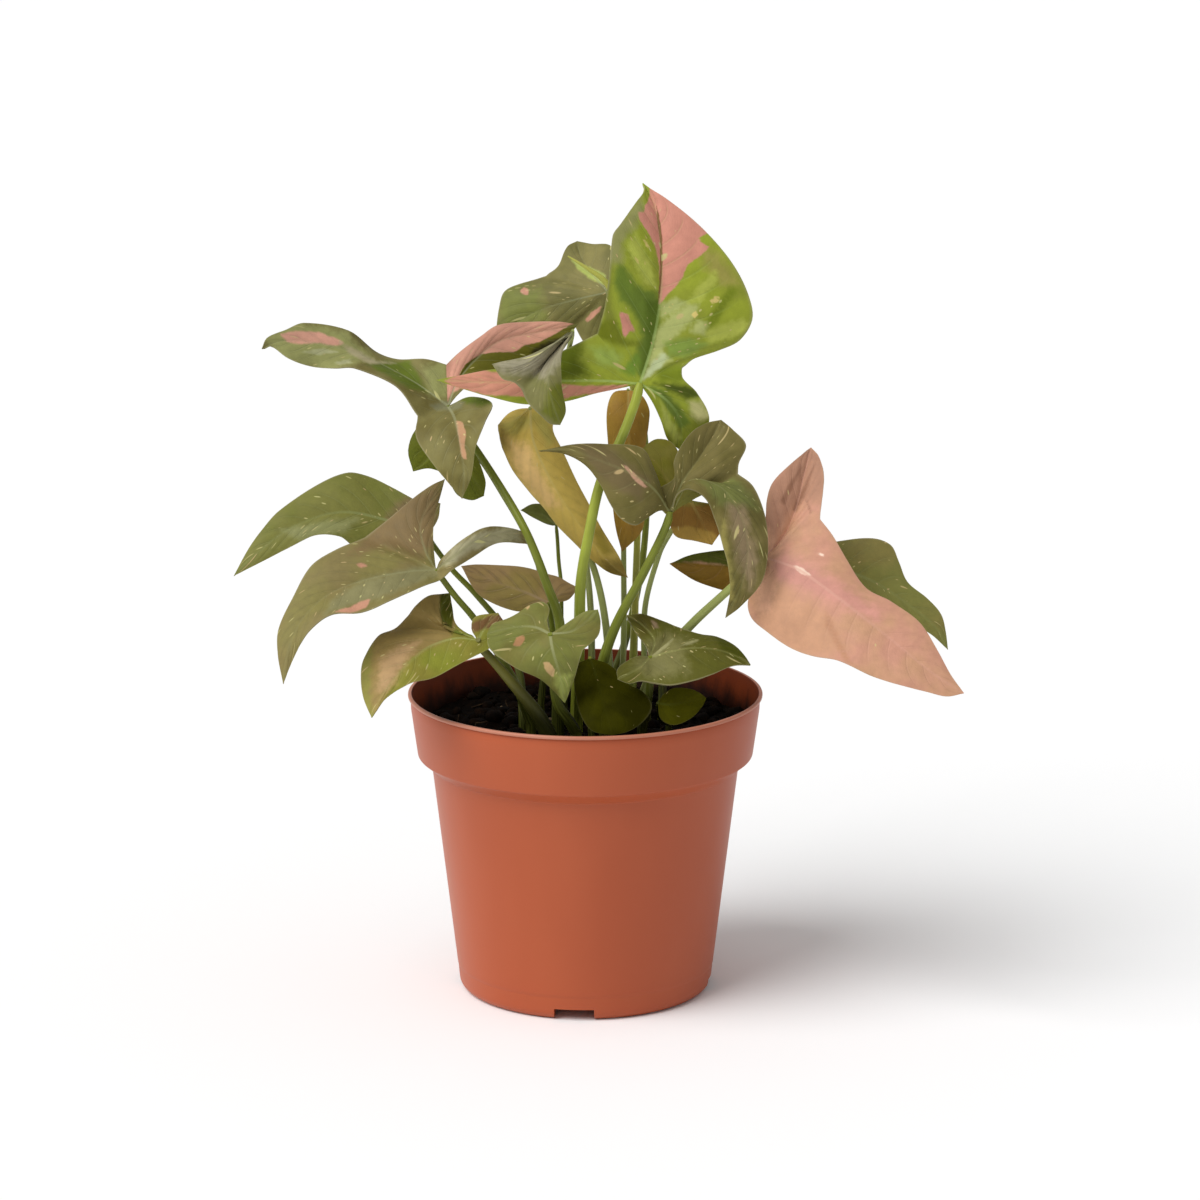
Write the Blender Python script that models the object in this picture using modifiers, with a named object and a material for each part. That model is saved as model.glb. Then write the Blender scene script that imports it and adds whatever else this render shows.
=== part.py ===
"""Arrowhead plant with three-lobed variegated leaves in a terracotta-coloured plastic pot.

Everything is in metres, +Z up, with the pot standing on z = 0 on its own axis.
The leaves are set out on a front view: each point is (across, up, depth) in
millimetres, measured from the middle of the pot's rim, and seen() places it. A leaf's set_back moves all of it
farther back by so many millimetres.
"""
import math

import bmesh
import bpy
from mathutils import Vector, noise
from mathutils.bvhtree import BVHTree

# Driving dimensions of the pot (metres)
POT_HEIGHT = 0.103
RIM_RADIUS = 0.060
BAND_HEIGHT = 0.0215
BAND_FOOT_RADIUS = 0.0569
SHOULDER_DROP = 0.0035
BODY_TOP_RADIUS = 0.0520
BODY_FOOT_RADIUS = 0.0432
WALL = 0.0013
FOOT_CORNER = 0.0035
FOOT_NOTCH_WIDTH = 0.0135
FOOT_NOTCH_HEIGHT = 0.004
FOOT_NOTCHES = 4
FOOT_NOTCH_TURN = math.radians(-95)
FLOOR_RAISE = 0.004
DRAIN_RING_RADIUS = 0.029
DRAIN_HOLE_RADIUS = 0.0035
DRAIN_HOLES = 8
POT_STEPS = 56

# Driving dimensions of the plant (metres)
SOIL_DROP = 0.012
SOIL_LUMP = 0.0026
BLADE_THICKNESS = 0.0008
GAP = 0.0003
STEM_SINK = 0.007
BLADE_STEP = 0.0085
BLADE_COLUMNS = 3

# The front view that the leaf points are measured in
VIEW_TILT = math.radians(13.3)
VIEW_DISTANCE = 1.506
VIEW_CENTRE = (0.00498, 0.0308)

LEAVES = {
    "crown_leaf": {
        "joint": (18.5, 104, -10),
        "lobes": [
            {"near": [(5, 101, -12), (-6.5, 98, -15), (-20, 97, -19), (-32, 99.5, -21), (-44, 103, -21)],
             "rib": [(8, 105, -12), (-9, 105, -16), (-29, 104.5, -19), (-50.5, 105.3, -21)],
             "far": [(-42, 107, -19), (-32, 108.7, -17), (-18, 110.5, -14), (-6, 116, -11.5)],
             "notch": (4, 121, -9)},
            {"near": [(6.3, 129, -12), (8, 139, -13), (9.4, 154, -9), (12.3, 158.5, -5), (16.8, 165, 2)],
             "rib": [(23, 119, -7), (25.6, 136, -4), (25.3, 153, 1), (23.3, 164.5, 6), (19.5, 172, 9)],
             "far": [(27, 167, 6), (36, 160, 4), (44.5, 151.5, 3), (51, 143, 2), (55.3, 134, 2),
                     (56.6, 126, 1), (52.4, 118.8, 0), (45.6, 115.4, -2), (37, 112.5, -5)],
             "notch": (32.7, 109.7, -8)},
            {"near": [(33, 106, -8), (37.8, 101, -7), (42, 92.4, -5), (39, 85, -3)],
             "rib": [(27, 99, -9), (32, 92, -6), (32.7, 81, -2)],
             "far": [(28, 85, -4), (25.5, 91.7, -7), (22.5, 98, -9)]}],
        "stem": [(17, 98, -12), (12, 85, -15), (5.3, 71, -19), (1, 52, -22), (-1.5, 36.6, -21), (-2, 22, -18)],
        "foot": (-3, -13), "radii": (1.6, 2.4), "colour": (0.33, 0.46, 0.10)},
    "back_leaf": {
        "set_back": 18,
        "joint": (7.7, 135, 25),
        "lobes": [
            {"near": [(9, 126, 24), (8, 119.5, 24)],
             "rib": [(6, 125, 25), (4.3, 115.4, 24)],
             "far": [(1, 116.5, 25), (-1.8, 120, 26)],
             "notch": (-3.5, 123.5, 27)},
            {"near": [(-12, 120, 28), (-22, 117, 29)],
             "rib": [(-3.5, 132.5, 27), (-15.3, 129, 29), (-25, 123.5, 31), (-30, 118.5, 31)],
             "far": [(-30, 124, 32), (-29.2, 130, 34), (-27.5, 135, 36), (-23, 137.5, 37)],
             "notch": (-13.3, 140.5, 38)},
            {"near": [(-9, 144.5, 42), (-6, 150.5, 46)],
             "rib": [(2.3, 141, 32), (-1.8, 147.6, 42), (-2.8, 152.3, 48)],
             "far": [(1.6, 151.6, 45), (8.7, 150.6, 38), (11, 145, 32), (10, 139, 28)]}],
        "stem": [(10, 130, 29), (14, 112, 27), (20, 88, 24), (20, 50, 20), (13, 15, 18)],
        "foot": (5, 17), "radii": (1.2, 1.6), "colour": (0.30, 0.33, 0.17)},
    "folded_leaf": {
        "joint": (-4.2, 122, -14),
        "lobes": [
            {"near": [(-8, 115, -25), (-7.9, 103.6, -29), (-6.5, 95, -30)],
             "rib": [(-10, 113, -25), (-12.6, 106, -30), (-11.3, 98, -32), (-8.5, 90, -31)],
             "far": [(-12, 90.5, -31), (-15.3, 93.4, -31), (-19.7, 97.8, -30)],
             "notch": (-21.4, 102.2, -29)},
            {"near": [(-23.8, 104.3, -29), (-28, 105.6, -28)],
             "rib": [(-12, 116.5, -24), (-22, 110.3, -28), (-31.6, 110.7, -27)],
             "far": [(-23, 112.7, -26), (-18.7, 114, -25), (-11, 117.5, -21)]}],
        "stem": [(-5, 118, -9), (-7, 111, -5), (-12, 100, -2), (-14.5, 90, 0), (-11, 77, 2), (-5, 63, 3), (-0.5, 48, 4),
                 (2, 25, 4)],
        "foot": (2, 3), "radii": (1.0, 1.4), "colour": (0.24, 0.25, 0.14)},
    "star_leaf": {
        "joint": (-46.5, 96.5, -5),
        "lobes": [
            {"near": [(-39, 99.5, -13), (-31.6, 97.5, -20), (-34, 91.7, -25), (-37, 83.3, -28), (-38.5, 73, -29)],
             "rib": [(-44, 91.7, -17), (-42, 81.6, -26), (-41, 73, -29), (-41.7, 65, -30)],
             "far": [(-46, 70, -29), (-52.6, 78.2, -26), (-57.3, 86, -21)],
             "notch": (-56.6, 93.4, -14)},
            {"near": [(-64.4, 103.6, -10), (-78, 109.3, -8), (-84.7, 109.3, -8), (-93.2, 110, -9),
                      (-100.6, 112.7, -12)],
             "rib": [(-57.6, 104.3, -2), (-69.5, 110.8, 0), (-81.3, 115.5, -2), (-96.6, 118.5, -7),
                     (-105, 118, -11), (-109.4, 115.8, -14)],
             "far": [(-101.6, 122.2, -8), (-95.2, 124.6, -4), (-80.3, 122.2, 2), (-71.2, 114.8, 6),
                     (-64, 112.5, 6), (-54.3, 112.5, 4)],
             "notch": (-47, 110.5, 4)},
            {"near": [(-43.4, 114, 8), (-35.3, 120.2, 12), (-29.6, 123.9, 14), (-18.7, 125, 15), (-8.6, 125, 15)],
             "rib": [(-44, 103.6, 0), (-38, 111.5, 7), (-28.9, 118.5, 12), (-15.3, 121.5, 14), (-2.5, 124, 15)],
             "far": [(-8.6, 117, 13), (-15.3, 113, 12), (-25.5, 110, 9), (-34, 107.3, 5), (-41, 102.5, -1)]}],
        "stem": [(-44, 91, -6), (-37.3, 82.3, -10), (-26.2, 65, -20), (-20.4, 54.5, -26), (-16.7, 46, -28),
                 (-13.6, 37.6, -28), (-8.6, 22, -25)],
        "foot": (-9, -22), "radii": (1.4, 2.4), "colour": (0.32, 0.44, 0.12)},
    "tucked_leaf": {
        "set_back": 6,
        "joint": (-45.8, 85, 8),
        "lobes": [
            {"near": [(-38, 81, 8), (-33.8, 71.5, 7)],
             "rib": [(-40.7, 76.5, 6), (-34.3, 66, 6)],
             "far": [(-38.5, 64.6, 6), (-43.5, 66.5, 6)],
             "notch": (-47, 73.5, 7)},
            {"near": [(-53, 75.3, 6)],
             "rib": [(-50.5, 81, 7), (-58.3, 74.3, 6)],
             "far": [(-60, 81.6, 7), (-57, 89, 9), (-51, 90.5, 9)]}],
        "stem": [(-44.6, 84, 13), (-37.5, 80.5, 14), (-26.5, 64, 9), (-20.3, 53, 7), (-15.8, 42, 5), (-13, 22, 4)],
        "foot": (-15, 5), "radii": (1.0, 1.4), "colour": (0.36, 0.48, 0.12)},
    "left_leaf": {
        "joint": (-50.5, 41, -35),
        "lobes": [
            {"near": [(-49, 44.5, -36), (-42, 51, -37), (-34.3, 55.2, -34), (-27.2, 55.5, -26), (-20, 53.3, -18)],
             "rib": [(-44, 46, -38), (-35.6, 51.5, -35), (-25.5, 53, -24), (-16.4, 49, -15)],
             "far": [(-21.4, 50, -19), (-29.2, 50, -27), (-37, 46, -34), (-45, 41, -38)],
             "notch": (-49.2, 37.5, -38)},
            {"near": [(-54, 36, -42), (-65, 31, -49), (-75, 27, -53), (-85.7, 26, -56), (-94, 19.6, -59),
                      (-98.3, 12, -61)],
             "rib": [(-59.3, 40.5, -38), (-73, 38, -42), (-86.4, 33, -47), (-95.6, 24.5, -54), (-100.5, 14, -60),
                     (-102.3, 2.4, -64)],
             "far": [(-104, 12, -59), (-104, 20.6, -54), (-99.3, 31, -47), (-93, 42.3, -40), (-84.7, 47.5, -34)],
             "notch": (-74.6, 52, -28)},
            {"near": [(-68, 57.2, -25), (-57.6, 65.7, -22), (-52, 69.7, -20)],
             "rib": [(-54, 47, -34), (-56, 56, -28), (-52, 65, -22), (-47.5, 71.8, -18)],
             "far": [(-49, 66, -20), (-51, 59, -25), (-51.5, 50, -31)]}],
        "stem": [(-48.5, 38, -34), (-44, 32, -33), (-37.3, 24, -30), (-25, 5, -25)],
        "foot": (-18, -21), "radii": (1.3, 2.0), "colour": (0.35, 0.30, 0.15)},
    "far_left_leaf": {
        "set_back": 12,
        "joint": (-53.2, 52.8, -13),
        "lobes": [
            {"near": [(-52, 44.5, -12)],
             "rib": [(-54.5, 45, -13), (-56, 37.6, -13)],
             "far": [(-61, 40.3, -14)],
             "notch": (-64.4, 46, -15)},
            {"near": [(-78.3, 49, -16), (-83, 52.3, -17), (-90.8, 52.8, -18), (-99.3, 49, -20), (-110, 43.5, -22)],
             "rib": [(-66, 57.5, -12), (-83, 60.5, -13), (-100, 55, -17), (-111.8, 46, -21), (-119, 39, -24)],
             "far": [(-114.5, 47.4, -19), (-109.4, 54.5, -16), (-103.7, 61, -13), (-90.8, 69.7, -7),
                     (-80.7, 74, -4), (-74, 73, -3), (-65, 68.7, -6)],
             "notch": (-57.6, 64.7, -9)},
            {"near": [(-54.3, 65.3, -10)],
             "rib": [(-52, 59.6, -12), (-49, 63.5, -10)],
             "far": [(-50, 57.9, -12)]}],
        "stem": [(-51.5, 49.5, -8), (-45, 41, -6), (-37.3, 33, -4), (-27, 20, -3), (-22, 5, -5)],
        "foot": (-21, -8), "radii": (1.1, 1.6), "colour": (0.27, 0.36, 0.12)},
    "rim_left_leaf": {
        "joint": (-36.3, 17.3, -40),
        "lobes": [
            {"near": [(-38.5, 21, -39), (-37.5, 25, -37)],
             "rib": [(-34, 21.5, -38), (-29.5, 26.5, -36)],
             "far": [(-27.2, 22.3, -37), (-29.6, 17.3, -39)],
             "notch": (-33, 14, -40.5)},
            {"near": [(-43.8, 8.5, -46), (-51.6, 4.4, -50), (-59, 2.7, -54), (-66, -1.4, -57), (-69.3, -4.4, -59)],
             "rib": [(-43.5, 18, -41), (-52.6, 15.2, -43), (-57.5, 11.5, -47), (-63, 6, -52), (-68.5, -1, -57),
                     (-72.4, -9, -60)],
             "far": [(-75.3, -2, -55), (-76, 4.5, -50), (-75, 10.5, -44), (-70, 19, -38), (-64, 21.5, -34)],
             "notch": (-60, 25.5, -32)},
            {"near": [(-57, 29.3, -31), (-52.6, 32.4, -29)],
             "rib": [(-46.5, 21.5, -37), (-49, 27.5, -32), (-45.8, 33.2, -26)],
             "far": [(-45, 28.4, -29), (-43.5, 22.5, -36)]}],
        "stem": [(-35, 14.5, -36.5), (-31, 10, -36), (-24.5, 2.4, -36.5), (-16, -8, -35.5)],
        "foot": (-12, -34), "radii": (1.7, 3.3), "colour": (0.40, 0.38, 0.15)},
    "spotted_leaf": {
        "joint": (-11.9, 19.3, -45),
        "lobes": [
            {"near": [(-9.5, 20.8, -45), (-2.8, 25.4, -45), (0, 27, -45)],
             "rib": [(-5, 20, -46), (0.2, 23.4, -46), (4.3, 27.6, -45)],
             "far": [(5.2, 23.4, -45), (4.3, 18.6, -46)],
             "notch": (-0.8, 13.9, -47)},
            {"near": [(-2.1, 9.8, -47), (-3.8, 3.7, -46)],
             "rib": [(-11, 13.9, -48), (-8.6, 5.4, -48), (-6.9, -4.2, -44)],
             "far": [(-11, 0.3, -45), (-15.7, 4.4, -46), (-23.1, 7.4, -46)],
             "notch": (-29.9, 11.8, -45)},
            {"near": [(-32.8, 15, -44)],
             "rib": [(-16.7, 21.5, -44), (-21.4, 21.8, -43.5), (-27, 21, -43.5), (-33.3, 19.3, -43)],
             "far": [(-31.6, 22.5, -42), (-26.2, 24.6, -41), (-22.4, 26.6, -40), (-19, 29, -39), (-14.5, 30.3, -38),
                     (-12.2, 28.5, -39), (-13, 24, -43)]}],
        "stem": [(-11.5, 14, -41), (-11, 6, -38), (-9.5, -4, -36), (-5.5, -10, -34)],
        "foot": (-3, -32), "radii": (1.5, 2.4), "colour": (0.30, 0.34, 0.14)},
    "striped_leaf": {
        "set_back": 5,
        "joint": (-12.3, 29.8, -20),
        "lobes": [
            {"near": [(-18, 27.4, -20), (-23.5, 27, -20), (-31.6, 29.8, -19), (-37, 33.5, -17)],
             "rib": [(-20.4, 33.5, -18), (-30.6, 37, -16), (-42, 42.3, -14)],
             "far": [(-35.6, 43, -12), (-27.5, 42.5, -12), (-18.7, 41.5, -12)],
             "notch": (-13.6, 39.9, -13)},
            {"near": [(-8.6, 38.5, -13)],
             "rib": [(-7.5, 33.5, -17), (-2.5, 34.9, -14)],
             "far": [(-5.9, 30.8, -17)]}],
        "stem": [(-11.5, 24, -17), (-10.5, 15, -13), (-10, 5, -10)],
        "foot": (-10, -8), "radii": (1.2, 1.6), "colour": (0.36, 0.33, 0.16)},
    "ochre_leaf": {
        "joint": (-18.7, 95.8, -8),
        "lobes": [
            {"near": [(-17.7, 99.5, -8)],
             "rib": [(-15.3, 98, -9), (-13, 101, -8)],
             "far": [(-9.9, 97.8, -8)],
             "notch": (-10.5, 92.4, -9)},
            {"near": [(-10.9, 88.3, -9), (-8.2, 82.3, -9), (-3, 71.4, -9), (1.6, 62.6, -9), (5, 56.2, -9),
                      (11.4, 45.4, -9)],
             "rib": [(-17.7, 85, -12), (-11, 70, -13), (-1.8, 56, -13), (7, 44.3, -12), (14.5, 38.3, -9)],
             "far": [(8.4, 40, -9), (3.6, 43.5, -9), (-1.8, 48, -9), (-9, 55.2, -9), (-14, 62, -9), (-18.7, 67, -9),
                     (-24.5, 74.5, -8)],
             "notch": (-28.2, 82.3, -8)},
            {"near": [(-29, 85.6, -8)],
             "rib": [(-23.8, 91.7, -10), (-29.6, 90, -8)],
             "far": [(-26, 94, -8), (-22, 95.5, -8)]}],
        "stem": [(-18.2, 91, -3.5), (-16.5, 82, -2.5), (-11, 68, -2), (-4, 54, -2), (2.7, 42, -4), (7, 22, -6)],
        "foot": (9, -9), "radii": (1.1, 1.7), "colour": (0.45, 0.36, 0.09)},
    "hanging_leaf": {
        "set_back": 5,
        "joint": (14.5, 102, 5),
        "lobes": [
            {"near": [(19, 100.2, 2), (21.6, 95.5, 0), (21.6, 91, -1), (20.5, 81.6, -2), (20.3, 64.7, -2),
                      (19.3, 54.5, -2)],
             "rib": [(14.5, 91.7, -3), (15, 78, -5), (15, 61, -5), (12.4, 47, -2)],
             "far": [(10.5, 54.5, -2), (8.8, 68, -2), (7.7, 84.3, -1), (7.3, 95, 1), (9.5, 101, 4)]}],
        "stem": [(14, 96, 8), (13.3, 84, 10), (13, 66, 10), (13, 45, 9), (13, 18, 6)],
        "foot": (12, 3), "radii": (1.0, 1.3), "colour": (0.42, 0.29, 0.08)},
    "arching_leaf": {
        "joint": (28.7, 60.6, -25),
        "lobes": [
            {"near": [(25, 61, -27), (21.2, 58.6, -30), (17, 56, -32), (12.1, 58.2, -32), (8.4, 63.3, -31),
                      (5, 70, -30), (0, 76.3, -28), (-7.2, 80.2, -27)],
             "rib": [(23.6, 68, -28), (16.8, 73, -30), (5, 78, -29), (-5.2, 81.5, -28), (-16, 81.3, -27)],
             "far": [(-2.8, 83.5, -26), (7.7, 83.7, -24), (19, 82.3, -22), (23, 75.8, -22)],
             "notch": (25.5, 69, -23)},
            {"near": [(30, 72, -21), (30, 77.5, -18), (32, 82.3, -15), (36, 87.7, -12), (41, 90.7, -9)],
             "rib": [(32.5, 70, -22), (38, 78, -15), (43, 86, -9), (46, 91.8, -7)],
             "far": [(50, 88.5, -8), (54.4, 83.3, -10), (52, 77, -14)],
             "notch": (51.7, 73.5, -16)},
            {"near": [(56.8, 69.4, -18), (60.1, 62, -22), (61.8, 53.1, -27), (61.8, 45.4, -31), (59.5, 36.6, -34),
                      (52.7, 28.6, -37)],
             "rib": [(35.4, 71.5, -26), (45.6, 69.3, -25), (52.4, 60, -28), (55, 48, -32), (52.8, 36, -36),
                     (47.5, 24.7, -38)],
             "far": [(49, 33.9, -37), (48.3, 42.3, -35), (46.6, 48.7, -33), (44.2, 57.2, -31), (41, 65, -30),
                     (35, 68.3, -29), (31, 66.5, -28)]}],
        "stem": [(27.8, 57, -25), (25, 50.5, -26), (18.5, 37.6, -26), (10.4, 22.3, -25), (5.5, 8, -23)],
        "foot": (3, -21), "radii": (1.7, 2.4), "colour": (0.33, 0.33, 0.14)},
    "shaded_leaf": {
        "joint": (35.4, 64.7, -12),
        "lobes": [
            {"near": [(45.3, 62, -14), (46.3, 55.2, -16)],
             "rib": [(38.8, 58.6, -14), (42.9, 49.4, -16)],
             "far": [(37.1, 50.8, -15), (30.4, 52.5, -14)],
             "notch": (28, 59, -13)},
            {"near": [(24.5, 63, -12), (21.5, 70, -12)],
             "rib": [(29.5, 69, -12), (24.5, 76.5, -11), (19, 81.9, -11)],
             "far": [(24, 85.3, -9), (29.5, 84, -8), (33, 76.5, -9)]}],
        "stem": [(33.5, 61, -9), (29, 54, -7), (25, 46.4, -6), (20, 26.4, -5)],
        "foot": (21, -2), "radii": (1.1, 1.4), "colour": (0.33, 0.34, 0.05)},
    "pink_leaf": {
        "joint": (60.8, 45, -20),
        "lobes": [
            {"near": [(56, 37, -15), (48.3, 34, -11), (45, 34.5, -10), (37.5, 37, -9), (32.7, 40, -9)],
             "rib": [(52.4, 43.7, -16), (42.2, 42, -11), (28.5, 43, -9)],
             "far": [(35.4, 46, -10), (42.5, 47.3, -11), (50.7, 48.4, -13)],
             "notch": (58, 52, -15)},
            {"near": [(60.8, 58, -14), (61.5, 65, -11), (63.5, 70.7, -8), (70, 77.3, -5)],
             "rib": [(67.6, 53, -14), (71.7, 63, -9), (74, 73, -5), (76.4, 82.5, -2)],
             "far": [(79, 79.5, -4), (80.8, 73, -8), (80, 65, -13)],
             "notch": (79.4, 58.3, -17)},
            {"near": [(83.5, 53, -20), (88.6, 44.5, -26), (95.4, 34.5, -32), (103.8, 30, -36), (113, 23.5, -41),
                      (119.4, 13.5, -46), (124, 5.2, -50)],
             "rib": [(64.6, 44, -23), (72.3, 41, -28), (83.8, 33, -36), (94.7, 24.5, -42), (104.5, 16.6, -46),
                     (118.4, 5.4, -51), (128.2, -0.7, -53)],
             "far": [(122.5, -1.8, -54), (115.7, -0.3, -54), (107, 2, -54), (97, 5, -52), (85.5, 10.3, -49),
                     (76.4, 12, -45), (69.3, 14.6, -40), (61.5, 20, -34), (56, 25, -29), (55, 31, -25)]}],
        "stem": [(57.6, 42, -25), (48.3, 34, -21), (34, 20.5, -13), (24, 8, -10)],
        "foot": (17, -11), "radii": (1.6, 2.3), "colour": (0.58, 0.33, 0.20)},
    "far_right_leaf": {
        "set_back": 14,
        "joint": (69.3, 42.7, -7),
        "lobes": [
            {"near": [(76, 48.6, -6), (84.5, 50.6, -6), (97, 51.7, -7), (103.4, 49.4, -8), (106.2, 43.7, -10),
                      (109.2, 37, -12), (115.7, 31.5, -14), (120.4, 26, -16), (122, 20, -17)],
             "rib": [(82.8, 41.6, -10), (96.4, 37.6, -12), (110, 28.8, -16), (119, 21, -18), (122.8, 13.9, -18)],
             "far": [(116.5, 19.5, -18), (108.2, 23.4, -17), (96.4, 28, -15), (81, 30.8, -12)],
             "notch": (72, 33.5, -10)},
            {"near": [(67.6, 30.8, -9)],
             "rib": [(67, 36, -8), (62.5, 30.8, -8)],
             "far": [(63, 36, -7)]}],
        "stem": [(66.5, 41.5, -2), (58, 41, 2), (48.5, 34.3, 4), (34, 21, 6), (27, 10, 7)],
        "foot": (26, 7), "radii": (1.2, 1.6), "colour": (0.30, 0.33, 0.15)},
    "rim_right_leaf": {
        "joint": (21.9, 11.5, -32),
        "lobes": [
            {"near": [(21, 14.5, -31), (18.3, 18.3, -28), (15.3, 22.7, -24)],
             "rib": [(23.5, 17, -28), (18.9, 22.5, -23), (14, 25.7, -21)],
             "far": [(19.5, 26, -20), (26.6, 23.5, -20)],
             "notch": (33.4, 21, -21)},
            {"near": [(39.5, 19.3, -21), (44.5, 18.4, -21), (50.3, 15.6, -22), (54.1, 11.8, -24)],
             "rib": [(28.7, 13.4, -31), (35.8, 14.6, -29), (43.6, 14.2, -27), (50, 12.3, -26), (56, 8.9, -27)],
             "far": [(50, 8.6, -30), (43.2, 5.8, -35), (36.8, 3.4, -38), (29.3, 2, -41)],
             "notch": (23.3, 2.7, -42)},
            {"near": [(18.5, 3.4, -42), (14.5, 2.6, -42)],
             "rib": [(18.5, 8, -38), (11, 4, -42)],
             "far": [(10.8, 7.3, -40), (14.5, 10.4, -37), (18.5, 12, -34)]}],
        "stem": [(22, 7, -30), (21.5, -2, -28.5)],
        "foot": (19, -27), "radii": (1.5, 2.0), "colour": (0.38, 0.46, 0.14)},
    "inner_leaf": {
        "joint": (1.6, 11.2, -30),
        "lobes": [
            {"near": [(8.4, 8.8, -31), (14.5, 2.4, -34), (19.5, -0.3, -36), (22.6, -5, -39), (20.2, -9.8, -42),
                      (15, -13.5, -45)],
             "rib": [(4, 3.7, -35), (6, -4.7, -41), (9, -15, -47)],
             "far": [(2.3, -13.5, -46), (-1.3, -8.8, -43), (-3, -3, -39), (-3.8, 3, -35), (-2.8, 8.8, -32)]}],
        "stem": [(1.8, 7, -27), (3, 0, -28), (4.5, -7, -29)],
        "foot": (6, -31), "radii": (1.2, 1.6), "colour": (0.10, 0.14, 0.04)},
    "low_leaf": {
        "joint": (24.5, -4.1, -33),
        "lobes": [
            {"near": [(26.6, -1, -32), (30, 1, -30), (34.8, 0.8, -28), (38.8, -0.6, -27)],
             "rib": [(28.5, -4.7, -33), (34.8, -3.7, -30), (41, -2.4, -27)],
             "far": [(39.8, -5, -29), (36.1, -9, -33), (30, -11.5, -36), (25.5, -9.5, -36)]}],
        "stem": [(25, -7, -29), (26, -10, -25)],
        "foot": (28, -18), "radii": (1.0, 1.3), "colour": (0.12, 0.15, 0.04)},
    "small_leaf": {
        "set_back": 6,
        "joint": (-9.9, 56.2, 5),
        "lobes": [
            {"near": [(-12.6, 56.5, 4), (-17, 58.5, 3)],
             "rib": [(-15.3, 60, 5), (-21.8, 61.3, 2)],
             "far": [(-18, 63.3, 5), (-14, 63, 6), (-10.5, 60, 6)]}],
        "stem": [(-9.5, 52, 6.5), (-9, 44, 6), (-8.2, 36, 4), (-8, 18, 5)],
        "foot": (-7, 9), "radii": (0.8, 1.1), "colour": (0.30, 0.38, 0.12)},
}

ROLLED_LEAF = {
    "route": [(-5.9, 147.2, 14), (0, 143.5, 12), (7.3, 138, 10), (12, 128, 10), (15.5, 112, 13), (18, 92, 16),
              (18, 66, 16), (17, 34, 15)],
    "foot": (16, 14), "radii": (0.5, 1.5, 1.9, 1.8, 1.4, 1.2, 1.2, 1.3, 1.4, 1.4), "colour": (0.55, 0.55, 0.16)}

STEM_COLOUR = (0.27, 0.36, 0.10)
POT_COLOUR = (0.48, 0.125, 0.055)
SOIL_COLOUR = (0.012, 0.009, 0.007)


def seen(across, up, depth):
    """Place a front-view point, given in millimetres, at its depth behind the rim's middle."""
    right = Vector((1, 0, 0))
    upward = Vector((0, math.sin(VIEW_TILT), math.cos(VIEW_TILT)))
    back = Vector((0, -math.cos(VIEW_TILT), math.sin(VIEW_TILT)))
    middle = Vector((0, 0, POT_HEIGHT))
    eye = middle + right * VIEW_CENTRE[0] + upward * VIEW_CENTRE[1] + back * VIEW_DISTANCE
    target = middle + right * (across / 1000) + upward * (up / 1000)
    reach = (depth / 1000 - eye.y) / (target.y - eye.y)
    return eye + (target - eye) * reach


def smooth_line(points, count):
    """Points at equal steps along a smooth curve through the given ones."""
    lengths = [0.0]
    for first, second in zip(points, points[1:]):
        lengths.append(lengths[-1] + (second - first).length)
    slopes = []
    for index in range(len(points)):
        low = max(index - 1, 0)
        high = min(index + 1, len(points) - 1)
        slopes.append((points[high] - points[low]) / (lengths[high] - lengths[low]))
    line = []
    piece = 0
    for step in range(count + 1):
        distance = lengths[-1] * step / count
        while piece < len(points) - 2 and distance > lengths[piece + 1]:
            piece += 1
        span = lengths[piece + 1] - lengths[piece]
        t = min((distance - lengths[piece]) / span, 1.0)
        line.append(points[piece] * (2 * t**3 - 3 * t**2 + 1)
                    + slopes[piece] * span * (t**3 - 2 * t**2 + t)
                    + points[piece + 1] * (3 * t**2 - 2 * t**3)
                    + slopes[piece + 1] * span * (t**3 - t**2))
    return line


def make_material(name, colour, roughness):
    material = bpy.data.materials.new(name)
    material.use_nodes = True
    shader = material.node_tree.nodes["Principled BSDF"]
    shader.inputs["Base Color"].default_value = (*colour, 1)
    shader.inputs["Roughness"].default_value = roughness
    shader.inputs["Metallic"].default_value = 0
    return material


def add_object(name, mesh, material, collection):
    piece = bpy.data.objects.new(name, mesh)
    if material:
        mesh.materials.append(material)
    collection.objects.link(piece)
    return piece


def half_lobe(surface, rib, edge, rows, flip):
    """Loft one half of a lobe, from its rib to its edge, as a grid of faces."""
    rib_line = smooth_line(rib, rows)
    edge_line = smooth_line(edge, rows)
    grid = bmesh.ops.create_grid(surface, x_segments=rows, y_segments=BLADE_COLUMNS, size=1)["verts"]
    for vert in grid:
        row = round((vert.co.x + 1) / 2 * rows)
        share = (vert.co.y + 1) / 2
        vert.co = rib_line[row].lerp(edge_line[row], share)
    if flip:
        faces = {face for vert in grid for face in vert.link_faces}
        bmesh.ops.reverse_faces(surface, faces=list(faces))


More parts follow.
